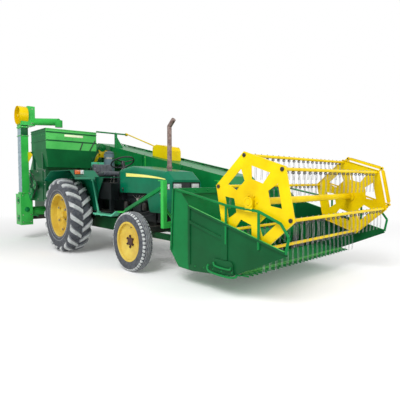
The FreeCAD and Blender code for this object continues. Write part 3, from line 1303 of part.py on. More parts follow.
def lift():
    barrels, rods = [], []
    for y in ("ram_y_in", "ram_y_out"):
        (x0, z0), (x1, z1) = along("0.02"), along("0.72")
        eye = rod("y", ("foot_x", f"{y} - 25", "foot_high"), "32", "50")
        shell = strut((x0, y, z0), (x1, y, z1), "ram_r")
        (u0, w0), (u1, w1) = along("0.1"), along("0.8")
        bore = strut((u0, y, w0), (u1, y, w1), "rod_r + 0.5")
        barrels.append(cut(fuse(eye, shell), bore,
                           rod("y", ("foot_x", f"{y} - 40", "foot_high"), "pin_r + 0.3", "80")))
        (a0, b0), (a1, b1) = along("0.3"), along("0.96")
        rods.append(strut((a0, y, b0), (a1, y, b1), "rod_r"))
        rods.append(rod("y", ("eye_x", f"{y} - 23", "eye_high"), "34", "46"))
        rods.append(rod("y", ("eye_x", f"{y} - 40", "eye_high"), "pin_r", "80"))
    node("lift_barrels", *barrels)
    node("lift_rods", *rods)


for make in (wheels, transmission, engine, front_axle, knuckles, hood, exhaust, console, seat, platform,
             right_step, fenders, subframe, portal, thresher, grain_tank, elevator, feeder, reel_drive,
             header, auger, reel, tine_bars, lift):
    make()

doc.recompute()
for thing in doc.Objects:
    if "Invalid" in thing.State or "Error" in thing.State:
        raise RuntimeError(f"{thing.Label} failed: {thing.State}")
for thing in NODES:
    if thing.Shape.isNull() or not thing.Shape.isValid() or not thing.Shape.Solids:
        raise RuntimeError(f"{thing.Label} has no sound shape")

os.makedirs("parts", exist_ok=True)
for thing in NODES:
    thing.Shape.exportStep(f"parts/{thing.Label}.step")
print(len(NODES), "nodes written")
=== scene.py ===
import json
import math

import bmesh
import bpy
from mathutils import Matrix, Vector
from mathutils.bvhtree import BVHTree


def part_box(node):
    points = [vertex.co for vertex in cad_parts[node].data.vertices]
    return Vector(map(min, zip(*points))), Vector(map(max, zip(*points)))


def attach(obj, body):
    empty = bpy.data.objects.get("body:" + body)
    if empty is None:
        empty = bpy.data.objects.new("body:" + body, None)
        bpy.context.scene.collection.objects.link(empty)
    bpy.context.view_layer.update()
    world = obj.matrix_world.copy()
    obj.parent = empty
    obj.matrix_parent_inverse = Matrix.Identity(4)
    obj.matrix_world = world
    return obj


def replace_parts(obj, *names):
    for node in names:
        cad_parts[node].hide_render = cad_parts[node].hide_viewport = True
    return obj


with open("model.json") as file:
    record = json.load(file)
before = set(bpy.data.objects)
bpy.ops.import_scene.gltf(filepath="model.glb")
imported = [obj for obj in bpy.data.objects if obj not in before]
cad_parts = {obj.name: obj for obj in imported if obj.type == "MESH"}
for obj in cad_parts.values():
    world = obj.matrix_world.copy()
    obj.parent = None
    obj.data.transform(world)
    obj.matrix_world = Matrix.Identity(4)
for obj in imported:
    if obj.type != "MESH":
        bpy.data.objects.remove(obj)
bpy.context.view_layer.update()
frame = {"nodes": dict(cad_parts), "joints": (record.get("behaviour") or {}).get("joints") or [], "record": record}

# Places are in the tractor's own millimetres, from the middle of its rear axle on the
# ground: x forward, y to the driver's left, z up.
MM = 0.001
TAU = 2 * math.pi
JOINTS = {joint["name"]: joint for joint in frame["joints"]}
LEFT_WHEEL = Vector(JOINTS["rear_wheel_left"]["pos_m"])
RIGHT_WHEEL = Vector(JOINTS["rear_wheel_right"]["pos_m"])
AXLE = Vector((LEFT_WHEEL.x, (LEFT_WHEEL.y + RIGHT_WHEEL.y) / 2, 0))
X, Y, Z = Vector((1, 0, 0)), Vector((0, 1, 0)), Vector((0, 0, 1))
SIDES = {"left": 1, "right": -1}

# Sizes that more than one added piece uses
RIM_LIP = 20                          # from a rim's bead seat up to its lip
TINE_BARS = range(1, 7)
CRANK = 55                            # from a tine bar's axis to its crank pin, ahead and up
BEHIND_REEL = {-1: -900, 1: 1645}     # a y outside each of the reel's two end plates


def extent(node):
    """A CAD piece's lowest and highest corners."""
    low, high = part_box(node)
    return (low - AXLE) / MM, (high - AXLE) / MM


def joint_spot(name):
    """Where a joint's axis stands."""
    return (Vector(JOINTS[name]["pos_m"]) - AXLE) / MM


SKINS = {}      # each CAD piece's faces, sorted once for landing()


def landing(node, spot, way):
    """Where a line from spot along way first meets a CAD piece, and that face's normal."""
    if node not in SKINS:
        mesh = frame["nodes"][node].data
        SKINS[node] = BVHTree.FromPolygons([(v.co - AXLE) / MM for v in mesh.vertices],
                                           [list(p.vertices) for p in mesh.polygons])
    hit, normal, _, _ = SKINS[node].ray_cast(Vector(spot), Vector(way).normalized())
    return hit, normal


# ------------------------------------------------------------------ materials

def linear(hexa):
    """An sRGB hex colour as Blender's linear RGBA."""
    parts = [int(hexa[i:i + 2], 16) / 255 for i in (1, 3, 5)]
    return [c / 12.92 if c <= 0.04045 else ((c + 0.055) / 1.055) ** 2.4 for c in parts] + [1]


def new_material(name):
    material = bpy.data.materials.new(name)
    material.use_nodes = True
    tree = material.node_tree
    return material, tree, tree.nodes["Principled BSDF"]


def add(tree, kind, settings=(), links=()):
    """One node: settings are (socket or property, value) and links are (socket, source socket)."""
    node = tree.nodes.new("ShaderNode" + kind)
    for key, held in settings:
        if isinstance(key, str) and hasattr(node, key):
            setattr(node, key, held)
        else:
            node.inputs[key].default_value = held
    for key, source in links:
        tree.links.new(source, node.inputs[key])
    return node


def patches(tree, size_mm, low=0.35, high=0.65, detail=4.0):
    """Soft patches about that wide, from 0 to 1."""
    place = add(tree, "TexCoord")
    noise = add(tree, "TexNoise",
                (("Scale", 1 / (size_mm * MM)), ("Detail", detail), ("Roughness", 0.6)),
                (("Vector", place.outputs["Object"]),))
    return add(tree, "MapRange", (("From Min", low), ("From Max", high)),
               (("Value", noise.outputs["Fac"]),)).outputs["Result"]


def mottled(tree, low, high, size_mm):
    """A colour that wanders between two tones in patches of about that size."""
    share = patches(tree, size_mm)
    tones = add(tree, "Mix", (("data_type", "RGBA"), (6, linear(low)), (7, linear(high))), ((0, share),))
    return tones.outputs[2]


def dust_share(tree, amount, reach_m):
    """How thick field dust lies: on what faces up, and on what is near the ground."""
    face = add(tree, "NewGeometry")
    parts = add(tree, "SeparateXYZ", (), (("Vector", face.outputs["Normal"]),))
    upward = add(tree, "MapRange", (("From Min", 0.75), ("From Max", 1.0), ("To Max", 0.35)),
                 (("Value", parts.outputs["Z"]),))
    place = add(tree, "TexCoord")
    height = add(tree, "SeparateXYZ", (), (("Vector", place.outputs["Object"]),))
    low = add(tree, "MapRange",
              (("From Min", 0.05), ("From Max", reach_m), ("To Min", 1.0), ("To Max", 0.0)),
              (("Value", height.outputs["Z"]),))
    both = add(tree, "Math", (("operation", "ADD"),),
               ((0, upward.outputs["Result"]), (1, low.outputs["Result"])))
    broken = add(tree, "Math", (("operation", "MULTIPLY"),),
                 ((0, both.outputs["Value"]), (1, patches(tree, 130, 0.2, 0.8))))
    return add(tree, "Math", (("operation", "MULTIPLY"), (1, amount), ("use_clamp", True)),
               ((0, broken.outputs["Value"]),)).outputs["Value"]


def worn_edges(tree, reach_mm, amount):
    """A broken line along the outer edges, where hands, straw and stones rub."""
    rounded = add(tree, "Bevel", (("samples", 4), ("Radius", reach_mm * MM)))
    face = add(tree, "NewGeometry")
    alike = add(tree, "VectorMath", (("operation", "DOT_PRODUCT"),),
                ((0, rounded.outputs["Normal"]), (1, face.outputs["Normal"])))
    rim = add(tree, "MapRange",
              (("From Min", 0.80), ("From Max", 0.97), ("To Min", amount), ("To Max", 0.0)),
              (("Value", alike.outputs["Value"]),))
    return add(tree, "Math", (("operation", "MULTIPLY"), ("use_clamp", True)),
               ((0, rim.outputs["Result"]), (1, patches(tree, 60, 0.42, 0.60)))).outputs["Value"]


def relief(tree, shader, size_mm, depth_mm, strength=0.5, soft_mm=0.0):
    """Fine unevenness of the surface; soft_mm also rounds the piece's edges to the eye."""
    place = add(tree, "TexCoord")
    noise = add(tree, "TexNoise", (("Scale", 1 / (size_mm * MM)), ("Detail", 2.0)),
                (("Vector", place.outputs["Object"]),))
    bump = add(tree, "Bump", (("Strength", strength), ("Distance", depth_mm * MM)),
               (("Height", noise.outputs["Fac"]),))
    if soft_mm:
        rounded = add(tree, "Bevel", (("samples", 4), ("Radius", soft_mm * MM)))
        tree.links.new(rounded.outputs["Normal"], bump.inputs["Normal"])
    tree.links.new(bump.outputs["Normal"], shader.inputs["Normal"])


PANEL_MM = 450      # how far a sprayed coat keeps one tone
DUST, GROUND_M = "#A99F86", 0.7     # straw dust, and how high it is thrown up


def taped_tone_and_painted_light(tree, paint, zone):
    """A second colour past a line across the piece, on the faces that are square to one axis: on the header ends
    paint masked off with tape, on the grain tank its lit green over its darker painted shade: (low hex, high hex,
    axis, side of the line, metres, axis faced)."""
    low, high, axis, side, at, facing = zone
    place = add(tree, "TexCoord")
    where = add(tree, "SeparateXYZ", (), (("Vector", place.outputs["Object"]),))
    past = add(tree, "Math", (("operation", side), (1, at)), ((0, where.outputs[axis]),))
    face = add(tree, "NewGeometry")
    parts = add(tree, "SeparateXYZ", (), (("Vector", face.outputs["Normal"]),))
    across = add(tree, "Math", (("operation", "ABSOLUTE"),), ((0, parts.outputs[facing]),))
    square = add(tree, "Math", (("operation", "GREATER_THAN"), (1, 0.5)), ((0, across.outputs["Value"]),))
    share = add(tree, "Math", (("operation", "MULTIPLY"),),
                ((0, past.outputs["Value"]), (1, square.outputs["Value"])))
    both = add(tree, "Mix", (("data_type", "RGBA"),),
               ((0, share.outputs["Value"]), (6, paint), (7, mottled(tree, low, high, PANEL_MM))))
    return both.outputs[2]


def enamel(name, low, high, rough=0.3, dust=0.35, wear=0.5, under="#8F8B80", zone=None):
    """Enamel sprayed on sheet steel: glossy, its tone drifting slowly over each panel, with faint
    orange peel, straw dust low down and on ledges, and edges rubbed towards the metal."""
    material, tree, shader = new_material(name)
    paint = mottled(tree, low, high, PANEL_MM)
    if zone:
        paint = taped_tone_and_painted_light(tree, paint, zone)
    dusty = dust_share(tree, dust, GROUND_M)
    powdered = add(tree, "Mix", (("data_type", "RGBA"), (7, linear(DUST))), ((0, dusty), (6, paint)))
    rubbed = add(tree, "Mix", (("data_type", "RGBA"), (7, linear(under))),
                 ((0, worn_edges(tree, 4, wear)), (6, powdered.outputs[2])))
    tree.links.new(rubbed.outputs[2], shader.inputs["Base Color"])
    gloss = add(tree, "Mix", (("data_type", "FLOAT"), (2, rough), (3, 0.75)), ((0, dusty),))
    tree.links.new(gloss.outputs[0], shader.inputs["Roughness"])
    shader.inputs["Coat Weight"].default_value = 0.04
    shader.inputs["Coat Roughness"].default_value = 0.15
    shader.inputs["Specular IOR Level"].default_value = 0.12
    relief(tree, shader, 5, 0.10, 0.25, soft_mm=3)
    return material


def tyre_rubber(name, low, high, dust):
    """Vulcanised natural rubber, moulded: matt and almost black when new, greyed by dried soil."""
    material, tree, shader = new_material(name)
    paint = mottled(tree, low, high, 60)
    soil = add(tree, "Mix", (("data_type", "RGBA"), (7, linear("#A39E94"))), ((6, paint),))
    share = add(tree, "Math", (("operation", "MULTIPLY"), (1, dust)), ((0, patches(tree, 35, 0.4, 0.7)),))
    tree.links.new(share.outputs["Value"], soil.inputs[0])
    tree.links.new(soil.outputs[2], shader.inputs["Base Color"])
    shader.inputs["Roughness"].default_value = 0.82
    relief(tree, shader, 3, 0.3, 0.35)
    return material


def metal(name, low, high, rough, size_mm=25):
    """Bare steel: its grey shifts with scale and handling, and it mirrors softly."""
    material, tree, shader = new_material(name)
    tree.links.new(mottled(tree, low, high, size_mm), shader.inputs["Base Color"])
    shader.inputs["Metallic"].default_value = 1.0
    smear = add(tree, "MapRange", (("To Min", rough * 0.75), ("To Max", rough * 1.3)),
                (("Value", patches(tree, 12)),))
    tree.links.new(smear.outputs["Result"], shader.inputs["Roughness"])
    relief(tree, shader, 2, 0.05, 0.25)
    return material


def moulded(name, low, high, rough, grain_mm=1.5, coat=0.0):
    """Moulded plastic or rubber: one colour through and through, with the mould's fine grain. Iron
    castings under rust or old oil look the same, as the metal itself is hidden."""
    material, tree, shader = new_material(name)
    tree.links.new(mottled(tree, low, high, 80), shader.inputs["Base Color"])
    shader.inputs["Roughness"].default_value = rough
    shader.inputs["Coat Weight"].default_value = coat
    shader.inputs["IOR"].default_value = 1.5
    relief(tree, shader, grain_mm, 0.12, 0.35)
    return material


def lamp_lens(name, low, high, rough=0.12):
    """Pressed glass or acrylic over a bright reflector: it glitters, and its colour sits deep."""
    material, tree, shader = new_material(name)
    tree.links.new(mottled(tree, low, high, 20), shader.inputs["Base Color"])
    shader.inputs["Roughness"].default_value = rough
    shader.inputs["Transmission Weight"].default_value = 0.35
    shader.inputs["IOR"].default_value = 1.5
    shader.inputs["Coat Weight"].default_value = 0.6
    relief(tree, shader, 4, 0.2, 0.3)
    return material


def seat_cloth(name):
    """Vinyl-coated cotton: dark, faintly shiny on the crowns, its leather grain about 2 mm across,
    drawn at 4 mm so that it still shows from a step away."""
    material, tree, shader = new_material(name)
    tree.links.new(mottled(tree, "#2B2F36", "#454B54", 70), shader.inputs["Base Color"])
    shader.inputs["Roughness"].default_value = 0.42
    shader.inputs["Sheen Weight"].default_value = 0.15
    place = add(tree, "TexCoord")
    cells = add(tree, "TexVoronoi", (("Scale", 1 / (4 * MM)),), (("Vector", place.outputs["Object"]),))
    bump = add(tree, "Bump", (("Strength", 0.35), ("Distance", 0.4 * MM)),
               (("Height", cells.outputs["Distance"]),))
    tree.links.new(bump.outputs["Normal"], shader.inputs["Normal"])
    return material


def exhaust_steel():
    """Steel tube browned and blued by heat."""
    material, tree, shader = new_material("heat-browned steel")
    tree.links.new(mottled(tree, "#6B5650", "#93837C", 45), shader.inputs["Base Color"])
    shader.inputs["Metallic"].default_value = 0.55
    shader.inputs["Roughness"].default_value = 0.48
    relief(tree, shader, 3, 0.1, 0.4)
    return material


def radiator_core():
    """Brazed copper fins. They are 2 mm apart, and are drawn as bands 57 mm apart, which show: pale bands for the
    lit fins, and dark bands of painted shade in the gaps between them.
    """
    material, tree, shader = new_material("radiator fins in painted light and shade")
    place = add(tree, "TexCoord")
    band_mm = 9 * TAU
    bands_per_unit = 20 / TAU      # what the wave texture draws at a scale of 1
    fins = add(tree, "TexWave",
               (("bands_direction", "Z"), ("Scale", 1 / (band_mm * MM) / bands_per_unit)),
               (("Vector", place.outputs["Object"]),))
    # Dark and pale bands: painted shade between the fins, and their lit edges
    tone = add(tree, "Mix", (("data_type", "RGBA"), (6, linear("#1A1B1C")), (7, linear("#4A4C4C"))),
               ((0, fins.outputs["Fac"]),))
    tree.links.new(tone.outputs[2], shader.inputs["Base Color"])
    shader.inputs["Roughness"].default_value = 0.6
    return material


TANK_BREAK_M = 1.882            # the height at which the grain tank's upright walls start; below it, and on faces not square to x, its green is darker as painted shade
DIVIDER_M = AXLE.x + 3.178      # the place at which a header end's pointed front starts

FINISHES = {
    # One finish for each slot of the construction
    "tractor_green": enamel("enamel tractor green", "#006345", "#037552", 0.3, dust=0.05, wear=0.25),
    "machine_green": enamel("enamel machine green", "#076E33", "#0C8040", 0.34, dust=0.06, wear=0.12),
    # The grain tank's one green, lit and shaded: light green on its upper faces square to x stands for their lit
    # side, and the darker green everywhere else, the funnel below the break included, is painted shade.
    "tank_green": enamel("enamel green lit and in painted shade", "#06562B", "#0B6634", 0.55, dust=0.05,
                         zone=("#43AD50", "#58C260", "Z", "GREATER_THAN", TANK_BREAK_M, "X")),
    "reel_yellow": enamel("enamel bright yellow", "#DCB802", "#EED208", 0.3, dust=0.15, under="#B59A3A"),
    "wheel_yellow": enamel("enamel wheel yellow", "#C49E30", "#E2CB58", 0.36, dust=0.3, under="#A08A50"),
    "chassis_black": enamel("enamel chassis black", "#14181A", "#23292B", 0.45, dust=0.45,
                            under="#55565A"),
    "tyre_rubber": tyre_rubber("vulcanised rubber", "#343840", "#474C55", 0.16),
    "exhaust_steel": exhaust_steel(),
    "bare_steel": metal("worn bright steel", "#8E9090", "#B9BBBB", 0.34),
    "rod_chrome": metal("hard chrome", "#B8BCC0", "#D0D4D8", 0.14),
    "lamp_glass": lamp_lens("ribbed lamp glass", "#D3D8DA", "#F2F5F5"),
    "seat_vinyl": seat_cloth("vinyl-coated cotton"),
    "black_plastic": moulded("moulded black ABS", "#14161A", "#22252A", 0.5),
    # Finishes that single pieces or their trim have
    "header_green": enamel("enamel header green", "#054A25", "#08562D", 0.45, dust=0.02, wear=0.15,
                           zone=("#066A34", "#0A783E", "X", "LESS_THAN", DIVIDER_M, "Y")),
    "leg_green": enamel("enamel leaf green", "#2CA544", "#3FBE52", 0.34, dust=0.2),
    "deep_green": enamel("enamel dark green", "#0C4A2B", "#14592F", 0.4, dust=0.1, wear=0.0),
    "mint_green": enamel("enamel faded green", "#3FA582", "#63C09C", 0.4, dust=0.3),
    "lug_top": tyre_rubber("soil-greyed rubber", "#A4AAAC", "#CACECE", 0.35),
    "lug_side": tyre_rubber("dusty rubber", "#6C7076", "#8A8E93", 0.35),
    "stripe": enamel("enamel pale yellow", "#E6DF6A", "#F2EC8C", 0.3, dust=0.1, wear=0.2),
    "blank_plate": enamel("enamel cream", "#E8EFC6", "#F3F6DA", 0.35, dust=0.1, wear=0.2),
    "galvanised": metal("galvanised sheet", "#7E98A2", "#A9C0C8", 0.42, 60),
    "tank_grey": enamel("enamel blue-grey", "#53686F", "#6C828A", 0.4),
    "zinc": metal("zinc-plated fastener steel", "#8C8B84", "#B4B2A8", 0.38),
    "spring": metal("oil-hardened spring steel", "#4A4B4E", "#7C7E82", 0.42),
    "tine_steel": metal("straw-polished spring steel", "#85878A", "#B4B6B8", 0.4),
    "hose": moulded("woven-backed hose rubber", "#17181A", "#26282B", 0.6),
    "pivot_black": moulded("oil-soaked bearing iron", "#15130F", "#2A2620", 0.45),
    "hub_brown": moulded("rusted cast iron", "#2E1C16", "#4C2E22", 0.7, 3),
    "amber": lamp_lens("amber acrylic", "#D95A10", "#F07A1C", 0.2),
    "reflector": metal("aluminised reflector", "#C8CCCE", "#E8ECEE", 0.12),
    "dial": moulded("printed dial card", "#E4E4DE", "#F0F0EA", 0.5),
    "core": radiator_core(),
}


# CAD pieces that have a paint of their own, and not their slot's
OWN_PAINT = {
    "leg_green": ("elevator_leg", "elevator_head", "front_portal"),
    "deep_green": ("tank_stand", "subframe", "thresher_housing", "cleaning_shoe"),
    "header_green": ("header_end_right", "header_end_left"),
    "machine_green": ("cutter_bar",),
    "mint_green": ("right_step",),
    "reel_yellow": ("reel_bearings",),
}


def paint_nodes():
    """Each CAD piece takes the finish of its own slot, or of its own paint."""
    own = {node: paint for paint, nodes in OWN_PAINT.items() for node in nodes}
    for part in frame["record"]["subparts"]:
        piece = frame["nodes"][part["node"]]
        piece.data.materials.clear()
        piece.data.materials.append(FINISHES[own.get(part["node"], part["material_slot"])])


# ------------------------------------------------------------------ forms

def ring(centre, side, other, radius, count, turn=0.0):
    """Spots round a circle, or the corners of a nut."""
    angles = [turn + TAU * k / count for k in range(count)]
    return [centre + (side * math.cos(a) + other * math.sin(a)) * radius for a in angles]


def square_to(way):
    """A way made one long, and two more square to it and to each other."""
    way = Vector(way).normalized()
    side = way.orthogonal().normalized()
    return way, side, way.cross(side)


def smooth(points, steps):
    """A curve through given points, in that many steps between each two."""
    points = [Vector(p) for p in points]
    held = [points[0] * 2 - points[1]] + points + [points[-1] * 2 - points[-2]]
    line = []
    for a, b, c, d in zip(held, held[1:], held[2:], held[3:]):
        for k in range(steps):
            t = k / steps
            line.append((b * 2 + (c - a) * t + (a * 2 - b * 5 + c * 4 - d) * t ** 2
                         + (b * 3 - a - c * 3 + d) * t ** 3) / 2)
    return line + [points[-1]]


class Piece:
    """One added piece: its forms are gathered with their finishes, then made into one mesh."""

    def __init__(self, name, body, slot):
        self.name, self.body, self.slot = name, body, slot
        self.spots, self.faces, self.coats, self.finishes = [], [], [], []

    def coat(self, start, faces, finish):
        """Faces in one finish, between the spots that are counted from start."""
        if finish not in self.finishes:
            self.finishes.append(finish)
        self.faces += [[start + i for i in face] for face in faces]
        self.coats += [self.finishes.index(finish)] * len(faces)

    def put(self, spots, faces, finish):
        """New spots with the faces between them; it tells where their count starts."""
        start = len(self.spots)
        self.spots += spots
        self.coat(start, faces, finish)
        return start

    def loft(self, rings, finish, looped=False, top=None):
        """A skin over rings of as many spots each; top names (sides, finish) of another coat."""
        count, steps = len(rings[0]), len(rings) - (0 if looped else 1)
        spots = [spot for each in rings for spot in each]
        crowned, plain = [], []
        for i in range(steps):
            a, b = i * count, (i + 1) % len(rings) * count
            for j in range(count):
                k = (j + 1) % count
                (crowned if top and j in top[0] else plain).append((a + j, a + k, b + k, b + j))
        if not looped:
            plain += [tuple(range(count)), tuple(range(len(spots) - count, len(spots)))]
        start = self.put(spots, plain, finish)
        if crowned:
            self.coat(start, crowned, top[1])

    def turned(self, centre, way, line, finish, count=48, looped=False):
        """A turned form: line holds (along way, radius)."""
        way, side, other = square_to(way)
        centre = Vector(centre)
        self.loft([ring(centre + way * along, side, other, max(radius, 0.2), count)
                   for along, radius in line], finish, looped)

    def rod(self, start, end, radius, finish, count=12, far=None):
        """A round bar; far is its radius at the far end, if it tapers."""
        way = Vector(end) - Vector(start)
        line = [(0, radius), (way.length, radius if far is None else far)]
        self.turned(start, way, line, finish, count)

    def tube(self, path, radius, finish, count=8):
        """A round bar, pipe or hose along a path."""
        path = [Vector(p) for p in path]
        runs = [(b - a).normalized() for a, b in zip(path, path[1:])]
        ways = [runs[0]] + [(a + b).normalized() for a, b in zip(runs, runs[1:])] + [runs[-1]]
        side = ways[0].orthogonal()
        rings = []
        for spot, way in zip(path, ways):
            side = (side - way * side.dot(way)).normalized()
            rings.append(ring(spot, side, way.cross(side), radius, count))
        self.loft(rings, finish)

    def box(self, low, high, finish):
        """A box between two corners."""
        (a, b, c), (d, e, f) = low, high
        self.loft([[Vector((x, b, c)), Vector((x, e, c)), Vector((x, e, f)), Vector((x, b, f))]
                   for x in (a, d)], finish)

    def slab(self, centre, ways, sizes, finish):
        """A box that lies along three ways of its own."""
        u, v, w = (Vector(way).normalized() * size / 2 for way, size in zip(ways, sizes))
        centre = Vector(centre)
        self.loft([[centre + u * s - v - w, centre + u * s + v - w,
                    centre + u * s + v + w, centre + u * s - v + w] for s in (-1, 1)], finish)

    def bolt(self, spot, way, size, finish="zinc"):
        """A washer and a hexagon head; size is its width across the flats."""
        way, side, other = square_to(way)
        spot = Vector(spot)
        self.turned(spot - way, way, [(0, size * 0.9), (1 + size * 0.12, size * 0.9)], finish, 12)
        flat = size * 0.577      # from the middle to a corner
        self.loft([ring(spot + way * size * up, side, other, flat * wide, 6)
                   for up, wide in ((0.1, 1.0), (0.62, 1.0), (0.72, 0.86))], finish)

    def bolts(self, node, spots, way, size, finish="zinc"):
        """Bolts seated where lines from spots along way meet a CAD piece."""
        for spot in spots:
            hit, normal = landing(node, spot, way)
            if hit:
                self.bolt(hit, normal, size, finish)

    def sheet(self, rows, thick, finish):
        """A thin sheet laid over a surface, from rows of (spot, normal)."""
        high, wide = len(rows), len(rows[0])
        flat = [pair for row in rows for pair in row]
        count = len(flat)
        faces = []
        for a in (i * wide + j for i in range(high - 1) for j in range(wide - 1)):
            quad = (a, a + 1, a + wide + 1, a + wide)
            faces += [quad, tuple(count + k for k in reversed(quad))]
        rim = (list(range(wide)) + [i * wide + wide - 1 for i in range(1, high)]
               + [(high - 1) * wide + j for j in range(wide - 2, -1, -1)]
               + [i * wide for i in range(high - 2, 0, -1)])
        faces += [(a, b, b + count, a + count) for a, b in zip(rim, rim[1:] + rim[:1])]
        self.put([s + n * thick for s, n in flat] + [s - n * 0.5 for s, n in flat], faces, finish)

    def overlay(self, node, lines, way, thick, finish):
        """A sheet over a CAD piece: each line is a row of spots, cast onto it along way."""
        rows = [[landing(node, spot, way) for spot in line] for line in lines]
        if all(hit for row in rows for hit, _ in row):
            self.sheet(rows, thick, finish)

    def done(self, soften=0.0):
        """The mesh and its object, on its body; soften rounds sharp edges."""
        mesh = bpy.data.meshes.new(self.name)
        mesh.from_pydata([AXLE + spot * MM for spot in self.spots], [], self.faces)
        for finish in self.finishes:
            mesh.materials.append(FINISHES[finish])
        mesh.polygons.foreach_set("material_index", self.coats)
        form = bmesh.new()
        form.from_mesh(mesh)
        bmesh.ops.recalc_face_normals(form, faces=form.faces)
        if soften:
            sharp = [e for e in form.edges if e.is_manifold and e.calc_face_angle() > math.radians(40)]
            bmesh.ops.bevel(form, geom=sharp, offset=soften * MM, segments=2, profile=0.5,
                            affect="EDGES", clamp_overlap=True, material=-1)
        form.to_mesh(mesh)
        form.free()
        mesh.shade_smooth()
        mesh.set_sharp_from_angle(angle=math.radians(35))
        piece = bpy.data.objects.new(self.name, mesh)
        bpy.context.scene.collection.objects.link(piece)
        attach(piece, self.body)
        return piece


# ------------------------------------------------------------------ wheels

def carcass(half, bead, crown, shares):
    """Half of a tyre's section from bead to crown, as (across, radius)."""
    return smooth([(half * across, bead + (crown - bead) * up) for across, up in shares], 6)


def on_wheel(centre, side, across, radius, angle):
    """A spot on a wheel: angle 0 is its top, and it grows forwards."""
    return centre + Y * across * side + (X * math.sin(angle) + Z * math.cos(angle)) * radius


def lug(piece, centre, line, hand, start, lean, high, wide, stations):
    """One bar of a tread: it follows the section outwards and trails back as it goes. It bows a
    little, widens on its way, and runs out into the side wall over its last part."""
    bow, widening, top_wide, foot_wide, sunk, corner = 0.10, 0.14, 0.42, 0.60, 8, 5
    run_out_from, run_out = 0.72, 0.75
    rings = []
    for i, at in enumerate(stations):
        share = i / (len(stations) - 1)
        angle = start - lean * (share + bow * math.sin(math.pi * share))
        spot, along = line[at], line[max(at - 1, 0)] - line[min(at + 1, len(line) - 1)]
        out = Vector((along.y, -along.x)).normalized()
        if out.y < 0:
            out = -out
        ending = max(0, (share - run_out_from) / (1 - run_out_from))
        rise = high * (1 - run_out * ending ** 1.4)
        top, foot = wide * (top_wide + widening * share), wide * (foot_wide + widening * share)
        radial = X * math.sin(angle) + Z * math.cos(angle)
        round_way = X * math.cos(angle) - Z * math.sin(angle)
        lift = Y * out.x * hand + radial * out.y
        place = centre + Y * spot.x * hand + radial * spot.y
        rings.append([place + round_way * off + lift * up for off, up in (
            (-foot, -sunk), (-top - 2, rise - corner), (-top + 3, rise),
            (top - 3, rise), (top + 2, rise - corner), (foot, -sunk))])
    piece.loft(rings, "lug_side", top=((1, 2, 3), "lug_top"))


def tread_bars(piece, centre, line, count, start, lean, high, wide, stations):
    """Bars all the way round, those of one half midway between those of the other. The stations
    count the section's points that a bar passes, back from the crown."""
    stations = [len(line) - 1 - k for k in stations]
    for k in range(count):
        for hand in (-1, 1):
            turn = TAU / count * (k + (0.5 if hand > 0 else 0)) + start
            lug(piece, centre, line, hand, turn, lean, high, wide, stations)


def carcass_piece(end, name, deep, shares, count):
    """A tyre's carcass as a new piece, with its middle, radius, half width, bead and section."""
    low, high = extent(f"tyre_{end}_{name}")
    rim_low, rim_high = extent(f"rim_{end}_{name}")
    centre, radius, half = (low + high) / 2, (high.z - low.z) / 2, (high.y - low.y) / 2
    bead = (rim_high.z - rim_low.z) / 2 - RIM_LIP
    line = carcass(half, bead, radius - deep, shares)
    piece = Piece(f"{end}_tyre_{name}", f"wheel_{end}_{name}", "tyre_rubber")
    whole = [(p.x, p.y) for p in line] + [(-p.x, p.y) for p in reversed(line[:-1])]
    piece.turned(centre, Y, whole, "tyre_rubber", count, looped=True)
    return piece, centre, radius, half, bead, line


def rear_tyre(name):
    """A cross-ply drive tyre: a rounded carcass with eighteen bars a side that meet in arrows."""
    deep = 30
    piece, centre, radius, half, bead, line = carcass_piece("rear", name, deep, (
        (0.77, 0.01), (0.92, 0.20), (0.985, 0.45), (0.965, 0.68), (0.89, 0.86), (0.72, 0.955),
        (0.38, 0.99), (0, 1)), 120)
    # Two moulded rings on each side wall, as (share of the half width, share of its height)
    for across, up in ((0.90, 0.13), (0.975, 0.33)):
        spot = bead + (radius - deep - bead) * up
        for hand in (-1, 1):
            edge = half * across
            inner, outer = (edge - 4) * hand, (edge + 2.5) * hand
            piece.turned(centre, Y, [(inner, spot - 6), (outer, spot - 3), (outer, spot + 3),
                                     (inner, spot + 6)], "lug_side", 96, looped=True)
    tread_bars(piece, centre, line, 18, 0.02, 0.27, deep, 72, (0, 3, 6, 9, 12, 15, 18, 20, 22))
    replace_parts(piece.done(), f"tyre_rear_{name}")


def front_tyre(name):
    """A rib tyre for the steered wheels: zigzag ribs round its middle and blocks on its shoulders."""
    deep = 9
    piece, centre, radius, _, _, line = carcass_piece("front", name, deep, (
        (0.72, 0.01), (0.90, 0.18), (0.99, 0.45), (0.975, 0.66), (0.89, 0.84), (0.66, 0.95),
        (0.34, 0.99), (0, 1)), 96)
    steps, zigzag = 144, 3.5
    for middle, wide, base in ((0, 17, 0), (-27, 15, -2), (27, 15, -2)):
        rings = []
        for k in range(steps):
            sway = middle + (zigzag if k % 4 < 2 else -zigzag)
            rings.append([on_wheel(centre, 1, sway + off, radius - deep + base + up, TAU * k / steps)
                          for off, up in ((-wide / 2 - 1, -4), (-wide / 2 + 1, deep - 0.2),
                                          (wide / 2 - 1, deep - 0.2), (wide / 2 + 1, -4))])
        piece.loft(rings, "lug_side", looped=True)
    tread_bars(piece, centre, line, 46, 0, 0.012, deep, 34, (11, 13, 15, 17, 19))
    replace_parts(piece.done(), f"tyre_front_{name}")


